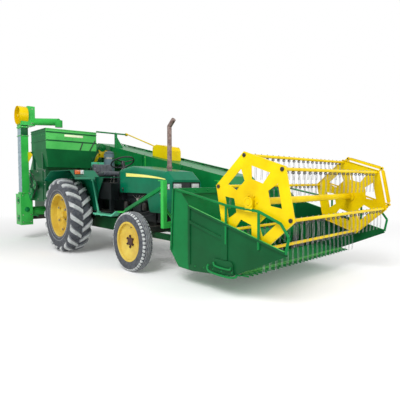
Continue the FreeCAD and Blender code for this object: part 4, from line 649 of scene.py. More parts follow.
def wheel_fittings(end, name):
    """Nuts, rim clamps, hub cap and valve, on the outer face of one wheel."""
    side = SIDES[name]
    rim = f"rim_{end}_{name}"
    low, high = extent(rim)
    centre = (low + high) / 2
    piece = Piece(f"wheel_fittings_{end}_{name}", f"wheel_{end}_{name}", "bare_steel")
    inward = -Y * side
    outside = (high.y if side > 0 else low.y) + 200 * side

    def facing(radius, angle):
        """A place well outside the wheel, from which a line inward lands on the rim."""
        spot = on_wheel(centre, side, 0, radius, angle)
        return Vector((spot.x, outside, spot.z))

    hub, _ = landing(rim, facing(8, 0), inward)
    hub = Vector((centre.x, hub.y, centre.z))
    if end == "rear":
        nuts, nut_ring, clamp_ring = 8, 122, 292
        piece.bolts(rim, [facing(nut_ring, TAU * k / nuts) for k in range(nuts)], inward, 30)
        for k in range(nuts):
            angle = TAU * (k + 0.5) / nuts
            hit, normal = landing(rim, facing(clamp_ring, angle), inward)
            radial = X * math.sin(angle) + Z * math.cos(angle)
            ways = (normal, radial, normal.cross(radial))
            piece.slab(hit + normal * 6, ways, (14, 62, 54), "wheel_yellow")
            piece.bolt(hit + normal * 13 + radial * 6, normal, 27)
        piece.turned(hub, Y * side, [(-2, 62), (10, 62), (16, 56), (22, 40), (25, 18), (26, 0)],
                     "wheel_yellow", 40)
    else:
        nuts, nut_ring = 6, 76
        piece.turned(hub, Y * side, [(-20, 58), (-4, 58), (4, 50), (10, 36), (13, 20), (14, 0)],
                     "hub_brown", 36)
        for k in range(nuts):
            angle = TAU * k / nuts
            hit, normal = landing(rim, facing(nut_ring, angle), inward)
            radial = X * math.sin(angle) + Z * math.cos(angle)
            ways = (normal, radial, normal.cross(radial))
            piece.slab(hit + normal * 4 - radial * 12, ways, (10, 48, 26), "hub_brown")
            piece.bolt(hit + normal * 8, normal, 22, "hub_brown")
    bead = (high.z - low.z) / 2 - RIM_LIP
    stem, _ = landing(rim, facing(bead * 0.88, 0.4), inward)
    out = Y * side
    piece.tube([stem - out * 4, stem + out * 20, stem + out * 34 - Z * 6], 4, "zinc")
    piece.rod(stem + out * 30 - Z * 4, stem + out * 42 - Z * 8, 5.5, "black_plastic")
    piece.done()


# ------------------------------------------------------------------ tractor

def line_between(start, end, count):
    """Spots on a straight line, its ends included."""
    return [Vector(start).lerp(Vector(end), k / (count - 1)) for k in range(count)]


def hood_trim(name):
    """On each side of the hood: the tapering pale stripe, a panel seam and two latches."""
    side = SIDES[name]
    piece = Piece(f"hood_trim_{name}", "chassis", "tractor_green")
    out, way = 400 * side, -Y * side
    stripe_rear, stripe_long, stations = 1290, 1050, 28
    lines = []
    for share in (0, 0.25, 0.5, 0.75, 1):
        row = []
        for k in range(stations + 1):
            t = k / stations
            middle = 1368 - 42 * t - 34 * t ** 3
            wide = 44 * (1 - t) ** 0.7 + 12
            row.append((stripe_rear + stripe_long * t, out, middle + wide * (share - 0.5)))
        lines.append(row)
    piece.overlay("hood", lines, way, 1.6, "stripe")
    seam = line_between((1112, out, 1120), (1112, out, 1400), 14)
    piece.overlay("hood", [[s + X * w for s in seam] for w in (-2, 2)], way, 0.8, "black_plastic")
    for x, z in ((1200, 1130), (2230, 1070)):
        hit, normal = landing("hood", (x, out, z), way)
        piece.slab(hit + normal * 5, (normal, X, Z), (12, 22, 60), "black_plastic")
        piece.slab(hit + normal * 13 + Z * 18, (normal, X, Z), (8, 26, 16), "zinc")
    piece.done(0.8)


def lamps():
    """Headlamps with fluted lenses over bright bowls, and the fender's amber and clear lamp."""
    piece = Piece("lamp_set", "chassis", "lamp_glass")
    front = extent("lamps")[1].x
    z_low, z_high, inner, outer, frame_wide, flutes = 1140, 1238, 85, 252, 7, 15
    steps = flutes * 4
    for side in SIDES.values():
        a, b = sorted((inner * side, outer * side))
        piece.box((front - 34, a, z_low), (front - 20, b, z_high), "reflector")
        for y0, y1, z0, z1 in ((a, b, z_low, z_low + frame_wide), (a, b, z_high - frame_wide, z_high),
                               (a, a + frame_wide, z_low, z_high), (b - frame_wide, b, z_low, z_high)):
            piece.box((front - 30, y0, z0), (front + 2, y1, z1), "black_plastic")
        rows = []
        for z in (z_low + frame_wide, (z_low + z_high) / 2, z_high - frame_wide):
            row = []
            for k in range(steps + 1):
                y = a + frame_wide + (b - a - frame_wide * 2) * k / steps
                dome = 5 * math.sin(math.pi * k / steps)
                row.append((Vector((front - 8 + dome + 1.2 * math.cos(TAU * k / 4), y, z)), X))
            rows.append(row)
        piece.sheet(rows, 2.5, "lamp_glass")
        piece.turned((front - 22, (a + b) / 2, (z_low + z_high) / 2), X,
                     [(0, 34), (1.5, 34), (1.5, 12), (8, 9), (12, 0)], "reflector", 24)
    # The lamp on the right fender's shelf: a back plate, a rim, and two lenses side by side
    plate, rim, face, low, high, steps = 772, 788, 812, 1379, 1443, 16
    piece.box((plate, -928, 1371), (rim, -772, 1451), "black_plastic")
    piece.box((rim, -924, low - 2), (rim + 4, -776, high + 2), "black_plastic")
    for y0, y1, finish in ((-922, -838, "amber"), (-836, -778, "lamp_glass")):
        rows = [[(Vector((face + 6 * math.sin(math.pi * k / steps) + k % 2,
                          y0 + (y1 - y0) * k / steps, z)), X)
                 for k in range(steps + 1)] for z in (low, (low + high) / 2, high)]
        piece.sheet(rows, 3, finish)
        piece.box((rim + 2, y0, low), (face - 1, y1, high), finish)
    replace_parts(piece.done(0.6), "lamps")


def nose_band():
    """The black band that runs round the nose at the lamps' height, with its side lenses."""
    piece = Piece("nose_band", "chassis", "black_plastic")
    for side in SIDES.values():
        lines = [[(x, 400 * side, z) for x in range(2350, 2441, 10)] for z in (1144, 1176, 1206, 1232)]
        piece.overlay("hood", lines, -Y * side, 2.0, "black_plastic")
        lens = [[(x, 400 * side, z) for x in range(2394, 2440, 9)] for z in (1154, 1190, 1224)]
        piece.overlay("hood", lens, -Y * side, 4.0, "lamp_glass")
    piece.done()


def padded(name, low, high, lean, swell, seams):
    """A stuffed pad, blown up from a slightly small block by a cloth simulation, then sewn. It
    leans by so many degrees, swells by no more than so many millimetres, and is sewn along seams."""
    form = bmesh.new()
    bmesh.ops.create_cube(form, size=1)
    low, high = Vector(low), Vector(high)
    small, corner, grid_mm, dip_deep, dip_wide = 10, 28, 7, 7, 7
    pressure, settled = 4, 20      # the stuffing's push, and the steps that it takes
    size, middle = high - low - Vector((small, small, small)) * 2, (high + low) / 2
    for vert in form.verts:
        vert.co = Vector(p * s for p, s in zip(vert.co, size))
    bmesh.ops.bevel(form, geom=form.edges[:], offset=corner, segments=4, profile=0.5, affect="EDGES")
    mesh = bpy.data.meshes.new(name)
    form.to_mesh(mesh)
    form.free()
    tilt = math.radians(lean)
    for vert in mesh.vertices:
        x, y, z = vert.co
        turned = Vector((x * math.cos(tilt) + z * math.sin(tilt), y,
                         z * math.cos(tilt) - x * math.sin(tilt)))
        vert.co = AXLE + (middle + turned) * MM
    pad = bpy.data.objects.new(name, mesh)
    bpy.context.scene.collection.objects.link(pad)
    grid = pad.modifiers.new("grid", "REMESH")
    grid.mode = "VOXEL"
    grid.voxel_size = grid_mm * MM
    shown = bpy.context.evaluated_depsgraph_get()
    meshed = bpy.data.meshes.new_from_object(pad.evaluated_get(shown))
    pad.modifiers.remove(grid)
    pad.data = meshed
    start = [v.co.copy() for v in meshed.vertices]
    cloth = pad.modifiers.new("cloth", "CLOTH")
    cloth.settings.use_pressure = True
    cloth.settings.uniform_pressure_force = pressure
    cloth.settings.effector_weights.gravity = 0
    for step in range(1, settled + 1):
        bpy.context.scene.frame_set(step)
    shown = bpy.context.evaluated_depsgraph_get()
    blown = bpy.data.meshes.new_from_object(pad.evaluated_get(shown))
    pad.modifiers.remove(cloth)
    bpy.context.scene.frame_set(1)
    for vert, old in zip(blown.vertices, start):
        moved = vert.co - old
        if moved.length > swell * MM:
            vert.co = old + moved.normalized() * swell * MM
    pad.data = blown
    # The thread pulls the sewn face in, less towards the pad's ends
    lying = size.x > size.z
    centre = AXLE + middle * MM
    for vert in blown.vertices:
        rel = (vert.co - centre) / MM
        along, above, long = (rel.x, rel.z, size.x) if lying else (rel.z, rel.x, size.z)
        if above <= 0:
            continue
        for spot in seams:
            dip = math.exp(-((rel.y - spot) / dip_wide) ** 2)
            pull = dip_deep * MM * dip * max(0, 1 - abs(along * 2 / long) ** 6)
            if lying:
                vert.co.z -= pull
            else:
                vert.co.x -= pull
    blown.materials.clear()
    blown.materials.append(FINISHES["seat_vinyl"])
    blown.shade_smooth()
    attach(pad, "chassis")
    return pad


def seat():
    """The driver's seat: two sewn pads on a pressed pan with its side rails."""
    low, high = extent("seat")
    cushion = padded("seat_cushion", (low.x + 105, low.y + 6, low.z + 14),
                     (high.x - 6, high.y - 6, 1438), -3, 9, (-75, 75))
    back = padded("seat_backrest", (low.x + 6, low.y + 16, 1388),
                  (low.x + 112, high.y - 16, high.z - 6), -8, 9, (-70, 70))
    pan = Piece("seat_pan", "chassis", "seat_vinyl")
    pan.box((low.x + 40, low.y + 24, low.z + 1), (high.x - 30, high.y - 24, low.z + 12),
            "black_plastic")
    for y in (-215, 215):
        pan.tube(smooth([(low.x + 30, y, 1345), (low.x + 20, y, 1400), (low.x, y * 0.99, 1500),
                         (low.x + 4, y * 0.93, 1560)], 4), 9, "black_plastic")
    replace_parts(cushion, "seat")
    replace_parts(back, "seat")
    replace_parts(pan.done(1.5), "seat")


def controls():
    """Levers with ball knobs, the dash's dial, and the steering wheel's cap."""
    piece = Piece("controls", "chassis", "black_plastic")
    for x, y, z0, z1, lean in ((640, -150, 1180, 1330, 40), (600, -190, 1150, 1300, 46),
                               (300, 265, 1000, 1470, 40), (250, -262, 1180, 1420, 30)):
        top = Vector((x + lean, y, z1))
        piece.tube(smooth([(x, y, z0), (x + lean * 0.4, y, (z0 + z1) / 2), top], 5), 6, "zinc")
        piece.turned(top - Z * 6, Z, [(0, 7), (6, 16), (18, 20), (30, 16), (36, 5)],
                     "black_plastic", 20)
    radius = 46
    hit, normal = landing("console", (560, 0, 1465), X)
    piece.turned(hit, normal, [(0, radius), (7, radius), (7, radius - 4), (4, radius - 5)],
                 "black_plastic", 32)
    piece.turned(hit, normal, [(0, radius - 5), (4.5, radius - 5)], "dial", 32)
    _, side, other = square_to(normal)
    for k in range(9):
        a = math.radians(-120 + 30 * k)
        way = side * math.sin(a) + other * math.cos(a)
        piece.slab(hit + normal * 5 + way * (radius - 11), (normal, way, normal.cross(way)),
                   (1, 7, 2), "black_plastic")
    piece.slab(hit + normal * 6 + side * radius * 0.25, (normal, side, other),
               (1.5, radius * 0.8, 3), "amber")
    hub, tilt = Vector((720, 0, 1600)), math.radians(26)
    normal = Vector((-math.sin(tilt), 0, math.cos(tilt)))
    piece.turned(hub + normal * 6, normal, [(0, 34), (8, 34), (14, 28), (17, 12), (18, 0)],
                 "black_plastic", 32)
    piece.done(0.8)


# ------------------------------------------------------------------ reel

def tine_bar(i):
    """A reel bar with its clipped double-coil springs, whose long tines hang straight down."""
    node = f"tine_bar_{i}"
    low, high = extent(node)
    axis = joint_spot(f"bar_turn_{i}")
    x, z = axis.x, axis.z
    piece = Piece(f"reel_bar_{i}", f"bar_{i}", "reel_yellow")
    piece.rod((x, low.y, z), (x, high.y - 22, z), 17, "reel_yellow", 24)
    first, pitch, gap = low.y + 69, 105, 24
    count = int((high.y - low.y - 134) // pitch) + 1
    turns, per_turn, coil_r = 2.5, 9, 12
    for k in range(count):
        middle = first + pitch * k + gap / 2
        piece.slab((x, middle, z - 18.5), (Z, Y, X), (3, 16, 26), "spring")
        piece.bolt((x, middle, z + 16), Z, 11)
        piece.rod((x, middle, z - 18), (x, middle, z - 27), 4.5, "zinc", 8)
        for hand in (-1, 1):
            coil = []
            for step in range(int(turns * per_turn) + 1):
                angle = TAU * step / per_turn + math.pi / 2
                aside = 4.5 + 7.5 * step / (turns * per_turn)
                coil.append((x + coil_r * math.cos(angle), middle + hand * aside,
                             z - 20 - coil_r + coil_r * math.sin(angle)))
            tip = middle + hand * gap / 2
            tine = [(x + 2, tip, z - 60), (x + 7, tip, z - 110), (x + 8, tip, z - 180),
                    (x + 2, tip, low.z + 1)]
            piece.tube([(x, middle + hand * 2, z - 20)] + coil, 2.5, "spring", 5)
            piece.tube([coil[-1]] + tine, 2.0, "tine_steel", 6)
    pin = Vector((x + CRANK, 0, z + CRANK))
    way = Vector((1, 0, 1)).normalized()
    outer = high.y - 14
    piece.slab(Vector((x + CRANK / 2, outer + 3, z + CRANK / 2)), (Y, way, Y.cross(way)),
               (6, 78, 20), "reel_yellow")
    for spot in (axis, pin):
        piece.turned((spot.x, outer, spot.z), Y, [(0, 14), (6, 14)], "reel_yellow", 20)
    piece.rod((x, high.y - 24, z), (x, outer + 1, z), 12, "zinc", 16)
    piece.rod((pin.x, outer, pin.z), (pin.x, high.y, pin.z), 7, "zinc", 14)
    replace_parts(piece.done(), node)


def reel_fittings():
    """Bearing caps round the bars' ends, bolts round the hubs, and the right hub's cover."""
    piece = Piece("reel_fittings", "reel", "reel_yellow")
    hub = joint_spot("reel_turn")
    clear = 18.6      # the caps' bore, so that the bars turn in them
    caps = {-1: [(0, clear), (0, 21), (9, 21), (13, 12), (13, 0), (9, 0), (8.5, clear)],
            1: [(0, clear), (0, 23), (5, 23), (6, clear)]}
    for i in TINE_BARS:
        spot = joint_spot(f"bar_turn_{i}")
        for side, out in BEHIND_REEL.items():
            hit, _ = landing("reel_frame", (spot.x - 24, out, spot.z), -Y * side)
            piece.turned((spot.x, hit.y + side * 0.4, spot.z), Y * side, caps[side],
                         "pivot_black", 24, looped=True)
    piece.turned((hub.x, extent("reel_bearings")[0].y - 1, hub.z), -Y,
                 [(0, 56), (7, 56), (9, 50), (9, 43), (3, 40), (3, 31), (10, 28), (12, 0)],
                 "reel_yellow", 40)
    bolt_ring, bolt_count = 72, 6
    for side, out in BEHIND_REEL.items():
        spots = ring(Vector((hub.x, out, hub.z)), X, Z, bolt_ring, bolt_count)
        piece.bolts("reel_frame", spots, -Y * side, 17, "reel_yellow")
    piece.done(0.6)


def spider_ring():
    """The spider's outer ring: six flanged flats that join its eyes."""
    piece = Piece("spider_ring", "spider", "reel_yellow")
    low, high = extent("reel_spider")
    eyes = [joint_spot(f"bar_turn_{i}") + (X + Z) * CRANK for i in TINE_BARS]
    hub = sum(eyes, Vector()) / len(eyes)
    for a, b in zip(eyes, eyes[1:] + eyes[:1]):
        a, b = (Vector((s.x, (low.y + high.y) / 2, s.z)) for s in (a, b))
        run = (b - a).normalized()
        out = ((a + b) / 2 - Vector((hub.x, a.y, hub.z))).normalized()
        long = (b - a).length - 44      # short of the eyes at both ends
        flat_wide, flange = 38, 30
        piece.slab((a + b) / 2, (run, Y, out), (long, high.y - low.y - 2, flat_wide), "reel_yellow")
        piece.slab((a + b) / 2 + out * (flat_wide / 2 - 2) + Y * 12, (run, Y, out),
                   (long - 30, flange, 4), "reel_yellow")
    piece.done(1)


# ------------------------------------------------------------------ studio

def seen_rays(tree):
    """One for rays that the eye, a mirror or a lens follows, and nought for light on the object."""
    rays = add(tree, "LightPath")
    mirrored = add(tree, "Math", (("operation", "MAXIMUM"),),
                   ((0, rays.outputs["Is Glossy Ray"]), (1, rays.outputs["Is Transmission Ray"])))
    return add(tree, "Math", (("operation", "MAXIMUM"),),
               ((0, rays.outputs["Is Camera Ray"]), (1, mirrored.outputs["Value"]))).outputs["Value"]


def studio():
    """A white floor that keeps the shadow near the machine and shines evenly white far from it, a
    white sky that lights the machine less brightly than it looks, and two soft lamps."""
    white = linear("#FFFFFF")
    sheet = bpy.data.meshes.new("floor")
    far = 80
    sheet.from_pydata([(-far, -far, 0), (far, -far, 0), (far, far, 0), (-far, far, 0)], [],
                      [(0, 1, 2, 3)])
    floor = bpy.data.objects.new("floor", sheet)
    bpy.context.scene.collection.objects.link(floor)
    material, tree, shader = new_material("white studio floor")
    shader.inputs["Base Color"].default_value = white
    shader.inputs["Roughness"].default_value = 0.95
    shader.inputs["Specular IOR Level"].default_value = 0.1
    shadow_m, even_m = 3.0, 9.0      # the shadow is whole up to one, and gone past the other
    place = add(tree, "TexCoord")
    away = add(tree, "VectorMath", (("operation", "LENGTH"),), ((0, place.outputs["Object"]),))
    reach = add(tree, "MapRange",
                (("From Min", shadow_m), ("From Max", even_m), ("To Min", 0.12), ("To Max", 1.0)),
                (("Value", away.outputs["Value"]),))
    share = add(tree, "Math", (("operation", "MULTIPLY"),),
                ((0, seen_rays(tree)), (1, reach.outputs["Result"])))
    glow = add(tree, "Emission", (("Color", white), ("Strength", 1.0)))
    both = add(tree, "MixShader", (), ((0, share.outputs["Value"]), (1, shader.outputs["BSDF"]),
                                       (2, glow.outputs["Emission"])))
    tree.links.new(both.outputs["Shader"], tree.nodes["Material Output"].inputs["Surface"])
    floor.data.materials.append(material)
    world = bpy.data.worlds.new("studio")
    bpy.context.scene.world = world
    world.use_nodes = True
    sky = world.node_tree
    sky.nodes["Background"].inputs["Color"].default_value = white
    level = add(sky, "MapRange", (("To Min", 0.56), ("To Max", 1.0)), (("Value", seen_rays(sky)),))
    sky.links.new(level.outputs["Result"], sky.nodes["Background"].inputs["Strength"])
    for name, spot, aim, size, power in (
            ("key", (5, -8, 9), (0, 0, 1), 5, 1000), ("fill", (10, 4, 6), (1, 0, 1), 6, 350)):
        lamp = bpy.data.lights.new(name, "AREA")
        lamp.size = size
        lamp.energy = power
        holder = bpy.data.objects.new(name, lamp)
        holder.location = spot
        holder.rotation_euler = (Vector(aim) - Vector(spot)).to_track_quat("-Z", "Y").to_euler()
        bpy.context.scene.collection.objects.link(holder)


def camera():
    """Low, ahead and to the right of the machine, at a standing person's chest height."""
    lens = bpy.data.cameras.new("camera")
    lens.sensor_width = 36
    lens.lens = 32.85
    holder = bpy.data.objects.new("camera", lens)
    holder.location = AXLE + Vector((6.473, -3.439, 1.273))
    yaw, pitch = math.radians(137.208), math.radians(-3.03)
    look = Vector((math.cos(yaw) * math.cos(pitch), math.sin(yaw) * math.cos(pitch), math.sin(pitch)))
    holder.rotation_euler = look.to_track_quat("-Z", "Y").to_euler()
    bpy.context.scene.collection.objects.link(holder)
    bpy.context.scene.camera = holder


# ------------------------------------------------------------------ combine's own trim

def tank_trim():
    """The grain tank's painted shadows under its beads, plain cream plate, slanting straps, rim bolts and
    stiffeners.
    """
    piece = Piece("tank_trim", "chassis", "tank_green")
    face, bead_shadow_tall = -600, 22
    # Dark green strips just under the tank's two beads: painted shadow
    for z in (2192, 2034):
        piece.box((face + 0.5, -852, z), (face + 8.5, 162, z + bead_shadow_tall), "deep_green")
    piece.box((face + 0.5, -500, 2132), (face + 3, -120, 2176), "blank_plate")
    for (y0, z0), (y1, z1) in (((140, 2094), (20, 1884)), ((-130, 2034), (-190, 1884))):
        way = Vector((0, y1 - y0, z1 - z0))
        piece.slab((face + 5, (y0 + y1) / 2, (z0 + z1) / 2), (X, way, X.cross(way)),
                   (8, way.length, 20), "black_plastic")
    piece.bolts("grain_tank", [(0, y, 2104) for y in range(-800, 150, 155)], -X, 11, "tank_green")
    piece.bolts("grain_tank", [(x, -1200, 2150) for x in range(-1330, -640, 130)], Y, 11, "tank_green")
    for x in (-1300, -700):
        piece.box((x - 15, 172, 2120), (x + 15, 178, 2270), "deep_green")
    piece.done(0.8)


def auger_tube():
    """The cross tube that brings grain from the sieve to the elevator side, on two clamps, and
    the yellow plates and gusset behind it."""
    piece = Piece("cross_tube", "chassis", "tank_green")
    x, z, tube_r, clamp_r = -660, 1600, 62, 66
    piece.turned((x, 70, z), Y, [(0, 52), (4, tube_r), (300, tube_r), (346, tube_r), (362, 52),
                                 (370, 30), (372, 0)], "mint_green", 40)
    for y in (200, 380):
        piece.turned((x, y, z), Y, [(0, clamp_r), (24, clamp_r)], "leg_green", 40)
        piece.slab((x - 60, y + 12, z - 70), (X, Y, Z), (150, 24, 10), "leg_green")
    for y, foot_z, lean in ((255, 1630, 110), (560, 1500, -55)):
        foot, head = Vector((-870, y, foot_z)), Vector((-870, y + lean, 1860))
        way = head - foot
        piece.slab((foot + head) / 2, (X, way, X.cross(way)), (8, way.length, 66), "reel_yellow")
    piece.box((-874, 360, 1780), (-866, 590, 1935), "reel_yellow")
    piece.turned((-880, 445, 1990), X, [(0, 84), (22, 84), (26, 74), (26, 40), (40, 34), (42, 0)],
                 "machine_green", 40)
    gusset = [(-1798, 1884), (-1290, 1884), (-1560, 1790), (-1798, 1660)]
    piece.loft([[Vector((gx, gy, gz)) for gx, gz in gusset] for gy in (-806, -798)], "reel_yellow")
    piece.box((-862, 440, 1560), (-800, 590, 1652), "reel_yellow")
    piece.box((-880, 270, 1500), (-800, 600, 1508), "reel_yellow")
    piece.done(2)


def elevator_trim():
    """The elevator's flanges and bolts, its bright side cover, a painted shade high on its front, and the boot's
    bearings and door.
    """
    piece = Piece("elevator_trim", "chassis", "machine_green")
    x0, x1, y0, y1, flange = -2030, -1800, -935, -790, 14      # the leg's four faces
    piece.box((x0 + 12, y0 - 3, 1010), (x1 - 12, y0 - 0.4, 2380), "galvanised")
    for z in range(1080, 2360, 160):
        for x in (x0 + 24, x1 - 24):
            piece.bolt((x, y0 - 3, z), -Y, 10, "galvanised")
    # A thin dark green sheet on the leg's upper front: painted shade
    piece.box((x1 + 0.4, y0 + 2, 2236), (x1 + 3, y1 - 2, 2446), "deep_green")
    for z, tall in ((992, 34), (2222, 14), (2398, 30)):
        for a, b in (((x0 - flange, y0 - flange), (x1 + flange, y0 - 1)),
                     ((x0 - flange, y1 + 1), (x1 + flange, y1 + flange)),
                     ((x0 - flange, y0 - 1), (x0 - 1, y1 + 1)),
                     ((x1 + 1, y0 - 1), (x1 + flange, y1 + 1))):
            piece.box((*a, z), (*b, z + tall), "leg_green")
        for y in (y0 + 25, y1 - 25):
            piece.bolt((x1 + flange, y, z + tall / 2), X, 12)
    middle = (x0 + x1) / 2
    bearing_y, bolt_ring = -985, 60
    for z in (470, 850):
        piece.turned((middle, bearing_y, z), -Y, [(0, 74), (5, 74), (8, 46), (14, 42), (16, 20),
                                                  (22, 18), (22, 0)], "machine_green", 32)
        for spot in ring(Vector((middle, bearing_y - 8, z)), X, Z, bolt_ring, 4, TAU / 8):
            piece.bolt(spot, -Y, 14)
    piece.box((-1748, -960, 380), (-1742, -770, 560), "leg_green")
    for y, z in ((-945, 395), (-785, 395), (-945, 545), (-785, 545), (-945, 960), (-770, 960)):
        piece.bolt((-1742, y, z), X, 13)
    piece.turned((-1750, -865, 660), X, [(0, 52), (10, 52), (14, 34), (30, 30), (34, 0)],
                 "machine_green", 28)
    for z in (520, 900):
        piece.tube(smooth([(-1760, -740, z), (-1700, -720, z + 14), (-1640, -700, z + 8),
                           (-1560, -700, z)], 4), 13, "machine_green")
    head_rear = extent("elevator_head")[0].x
    for z in (2500, 2800):
        piece.bolts("elevator_head", [(head_rear + 400, -720, z), (-1700, -700, z)], -X, 13)
    piece.box((-2040, -900, 2858), (-1900, -800, 2860), "black_plastic")
    piece.done(1.0)


def pulley(piece, centre, way, radius, wide, finish):
    """A cast pulley with a V groove, a rim and a hub."""
    piece.turned(centre, way, [(-wide / 2, radius), (-wide / 2 + 4, radius), (0, radius - 11),
                               (wide / 2 - 4, radius), (wide / 2, radius), (wide / 2, radius - 16),
                               (wide / 2 - 8, radius - 20), (wide / 2 - 8, 34), (wide / 2 + 8, 30),
                               (wide / 2 + 8, 0)], finish, 48)


def belt(piece, first, second, radii, way, wide):
    """A V-belt round two pulleys."""
    a, b = Vector(first), Vector(second)
    run = (b - a).normalized()
    side = Vector(way).cross(run)
    steps, deep = 16, 9
    w = Vector(way).normalized() * wide / 2
    rings = []
    for centre, radius, start in ((a, radii[0], 90), (b, radii[1], -90)):
        for k in range(steps + 1):
            angle = math.radians(start + 180 * k / steps)
            out = run * math.cos(angle) + side * math.sin(angle)
            spot = centre + out * radius
            rings.append([spot - w, spot + w, spot + w * 0.7 - out * deep, spot - w * 0.7 - out * deep])
    piece.loft(rings, "hose", looped=True)


def belt_drive(piece, first, second, radii, way, casing, finish):
    """A belt with its two pulleys, each on a stub that comes out of the casing at that y."""
    for spot, radius in zip((first, second), radii):
        pulley(piece, spot, way, radius, 22, finish)
        end = spot[1] + 22 * way.y
        piece.rod((spot[0], casing, spot[2]), (spot[0], end, spot[2]), 16, "zinc", 20)
    belt(piece, first, second, [radius + 1 for radius in radii], way, 15)


def thresher_drives():
    """Pulleys and V-belts on both ends of the threshing unit, and the bolts of its end plates."""
    piece = Piece("thresher_drives", "chassis", "machine_green")
    y, casing = -858, -828
    for first, second, radii in (((-1500, y, 1010), (-1180, y, 1190), (118, 62)),
                                 ((-1180, y - 24, 1190), (-1440, y - 24, 1400), (90, 48))):
        belt_drive(piece, first, second, radii, -Y, casing, "machine_green")
    y, casing = 1344, 1318
    for first, second, radii in (((-1560, y, 1000), (-1130, y, 1240), (130, 74)),
                                 ((-1130, y + 24, 1240), (-960, y + 24, 960), (100, 54))):
        belt_drive(piece, first, second, radii, Y, casing, "reel_yellow")
    for out, columns, way in ((-1200, (-1700, -1250, -860), Y), (1700, (-1700, -1360, -860), -Y)):
        piece.bolts("thresher_housing", [(x, out, z) for x in columns for z in (900, 1200, 1460)],
                    way, 15)
    piece.done(0.6)


NOSE_X, NOSE_HIGH, ROOF_FALL = 2670, 1340, 0.1985     # the conveyor's nose, and its roof's slope


def conveyor_top(x):
    """The height of the conveyor's roof at x."""
    return NOSE_HIGH + ROOF_FALL * (NOSE_X - x)


def conveyor_trim():
    """The pipe along the conveyor's roof, its joints, pale side stiffeners and bolts."""
    piece = Piece("conveyor_trim", "header", "machine_green")
    slope = Vector((1, 0, -ROOF_FALL)).normalized()
    up = slope.cross(Y)
    pipe_y, pipe_r, joints = 1215, 13, 6
    start, end = (Vector((x, pipe_y, conveyor_top(x))) + up * rise
                  for x, rise in ((-1060, 17), (2380, 15)))
    piece.tube(line_between(start, end, 8), pipe_r, "chassis_black", 12)
    for k in range(joints):
        piece.slab(start.lerp(end, (k + 0.5) / joints), (slope, Y, up), (26, 34, 34), "chassis_black")
    stiffener = 250
    for x in (560, 1640):
        top = Vector((x, 594, conveyor_top(x) - 10))
        piece.slab(top - Z * stiffener / 2, (X, Y, Z), (26, 12, stiffener), "leg_green")
        for down in (30, 220):
            piece.bolt(top - Z * down - Y * 6, -Y, 13)
    for x in range(-1100, 2400, 250):
        for y, way in ((0, Y), (1800, -Y)):
            piece.bolts("feeder_conveyor", [(x, y, conveyor_top(x) - 300)], way, 12, "machine_green")
    above = 2600
    piece.bolts("feeder_covers", [(x, 640, above) for x in range(-900, 2400, 275)], -Z, 12,
                "machine_green")
    piece.bolts("reel_drive", [(560, 0, 1900), (1090, 0, 1720)], Y, 12)
    piece.bolts("reel_drive", [(x, y, above) for x in (570, 1080) for y in (820, 990)], -Z, 12)
    piece.done(0.8)


def engine_trim():
    """Injector pipes, filters, hoses, the fan, the radiator's fins and the exhaust's clamp."""
    piece = Piece("engine_trim", "chassis", "chassis_black")
    injector_r, coolant_r, oil_r, core_x = 4, 24, 7, 2238
    for k in range(4):
        x = 1330 + 130 * k
        piece.tube(smooth([(1560 + 20 * k, -232, 905), (1540 + 25 * k, -244, 985), (x + 20, -214, 1060),
                           (x, -150, 1112), (x, -120, 1120)], 5), injector_r, "zinc", 6)
    for x in (1230, 1760):
        piece.turned((x, -236, 812), Z, [(0, 30), (8, 46), (96, 46), (104, 40), (118, 40), (122, 0)],
                     "pivot_black", 28)
        piece.box((x - 40, -200, 900), (x + 40, -174, 950), "chassis_black")
    for path in ([(1985, -40, 1128), (2040, -60, 1160), (2120, -80, 1172), (2200, -90, 1166),
                  (core_x, -92, 1160)],
                 [(1975, 90, 742), (2050, 110, 710), (2140, 120, 716), (core_x, 120, 730)]):
        piece.tube(smooth(path, 6), coolant_r, "hose", 16)
    for x, y, z in ((1992, -42, 1133), (2226, -91, 1162)):
        piece.turned((x, y, z), X, [(0, coolant_r + 3), (12, coolant_r + 3)], "zinc", 24)
    for y, z, rise in ((-262, 700, 30), (-250, 780, -20)):
        piece.tube(smooth([(1110, y + 60, z + 90), (1250, y, z + rise), (1480, y - 8, z),
                           (1720, y, z + rise / 2), (1950, y + 40, z + 60)], 6), oil_r, "hose", 8)
    fan, blades, twist = Vector((2030, 0, 930)), 6, 0.8
    piece.turned(fan, X, [(-16, 46), (16, 46)], "pivot_black", 28)
    for k in range(blades):
        angle = TAU * k / blades
        radial = Y * math.sin(angle) + Z * math.cos(angle)
        cross = Y * math.cos(angle) - Z * math.sin(angle)
        piece.slab(fan + radial * 110, (X + cross * twist, cross - X * twist, radial),
                   (4, 82, 150), "chassis_black")
    piece.sheet([[(Vector((core_x, -190 + 38 * k, z)), -X) for k in range(11)]
                 for z in (700, 930, 1150)], 2, "core")
    piece.done(0.6)
    pipe = Piece("exhaust_clamp", "chassis", "exhaust_steel")
    for z in (1300, 1332):
        pipe.turned((2270, -150, z), Z, [(0, 36), (3, 40), (11, 40), (14, 36)], "zinc", 32)
    pipe.bolt((2270, -192, 1322), -Y, 15)
    pipe.done()


def portal_trim():
    """A square sleeve round the portal's brace."""
    piece = Piece("portal_trim", "chassis", "machine_green")
    foot, head = Vector((1670, -545, 810)), Vector((2610, -530, 1190))
    run = head - foot
    way = run.normalized()
    piece.slab((foot + head) / 2, (way, Y, way.cross(Y)), (run.length - 90, 40, 48), "machine_green")
    piece.done(1)


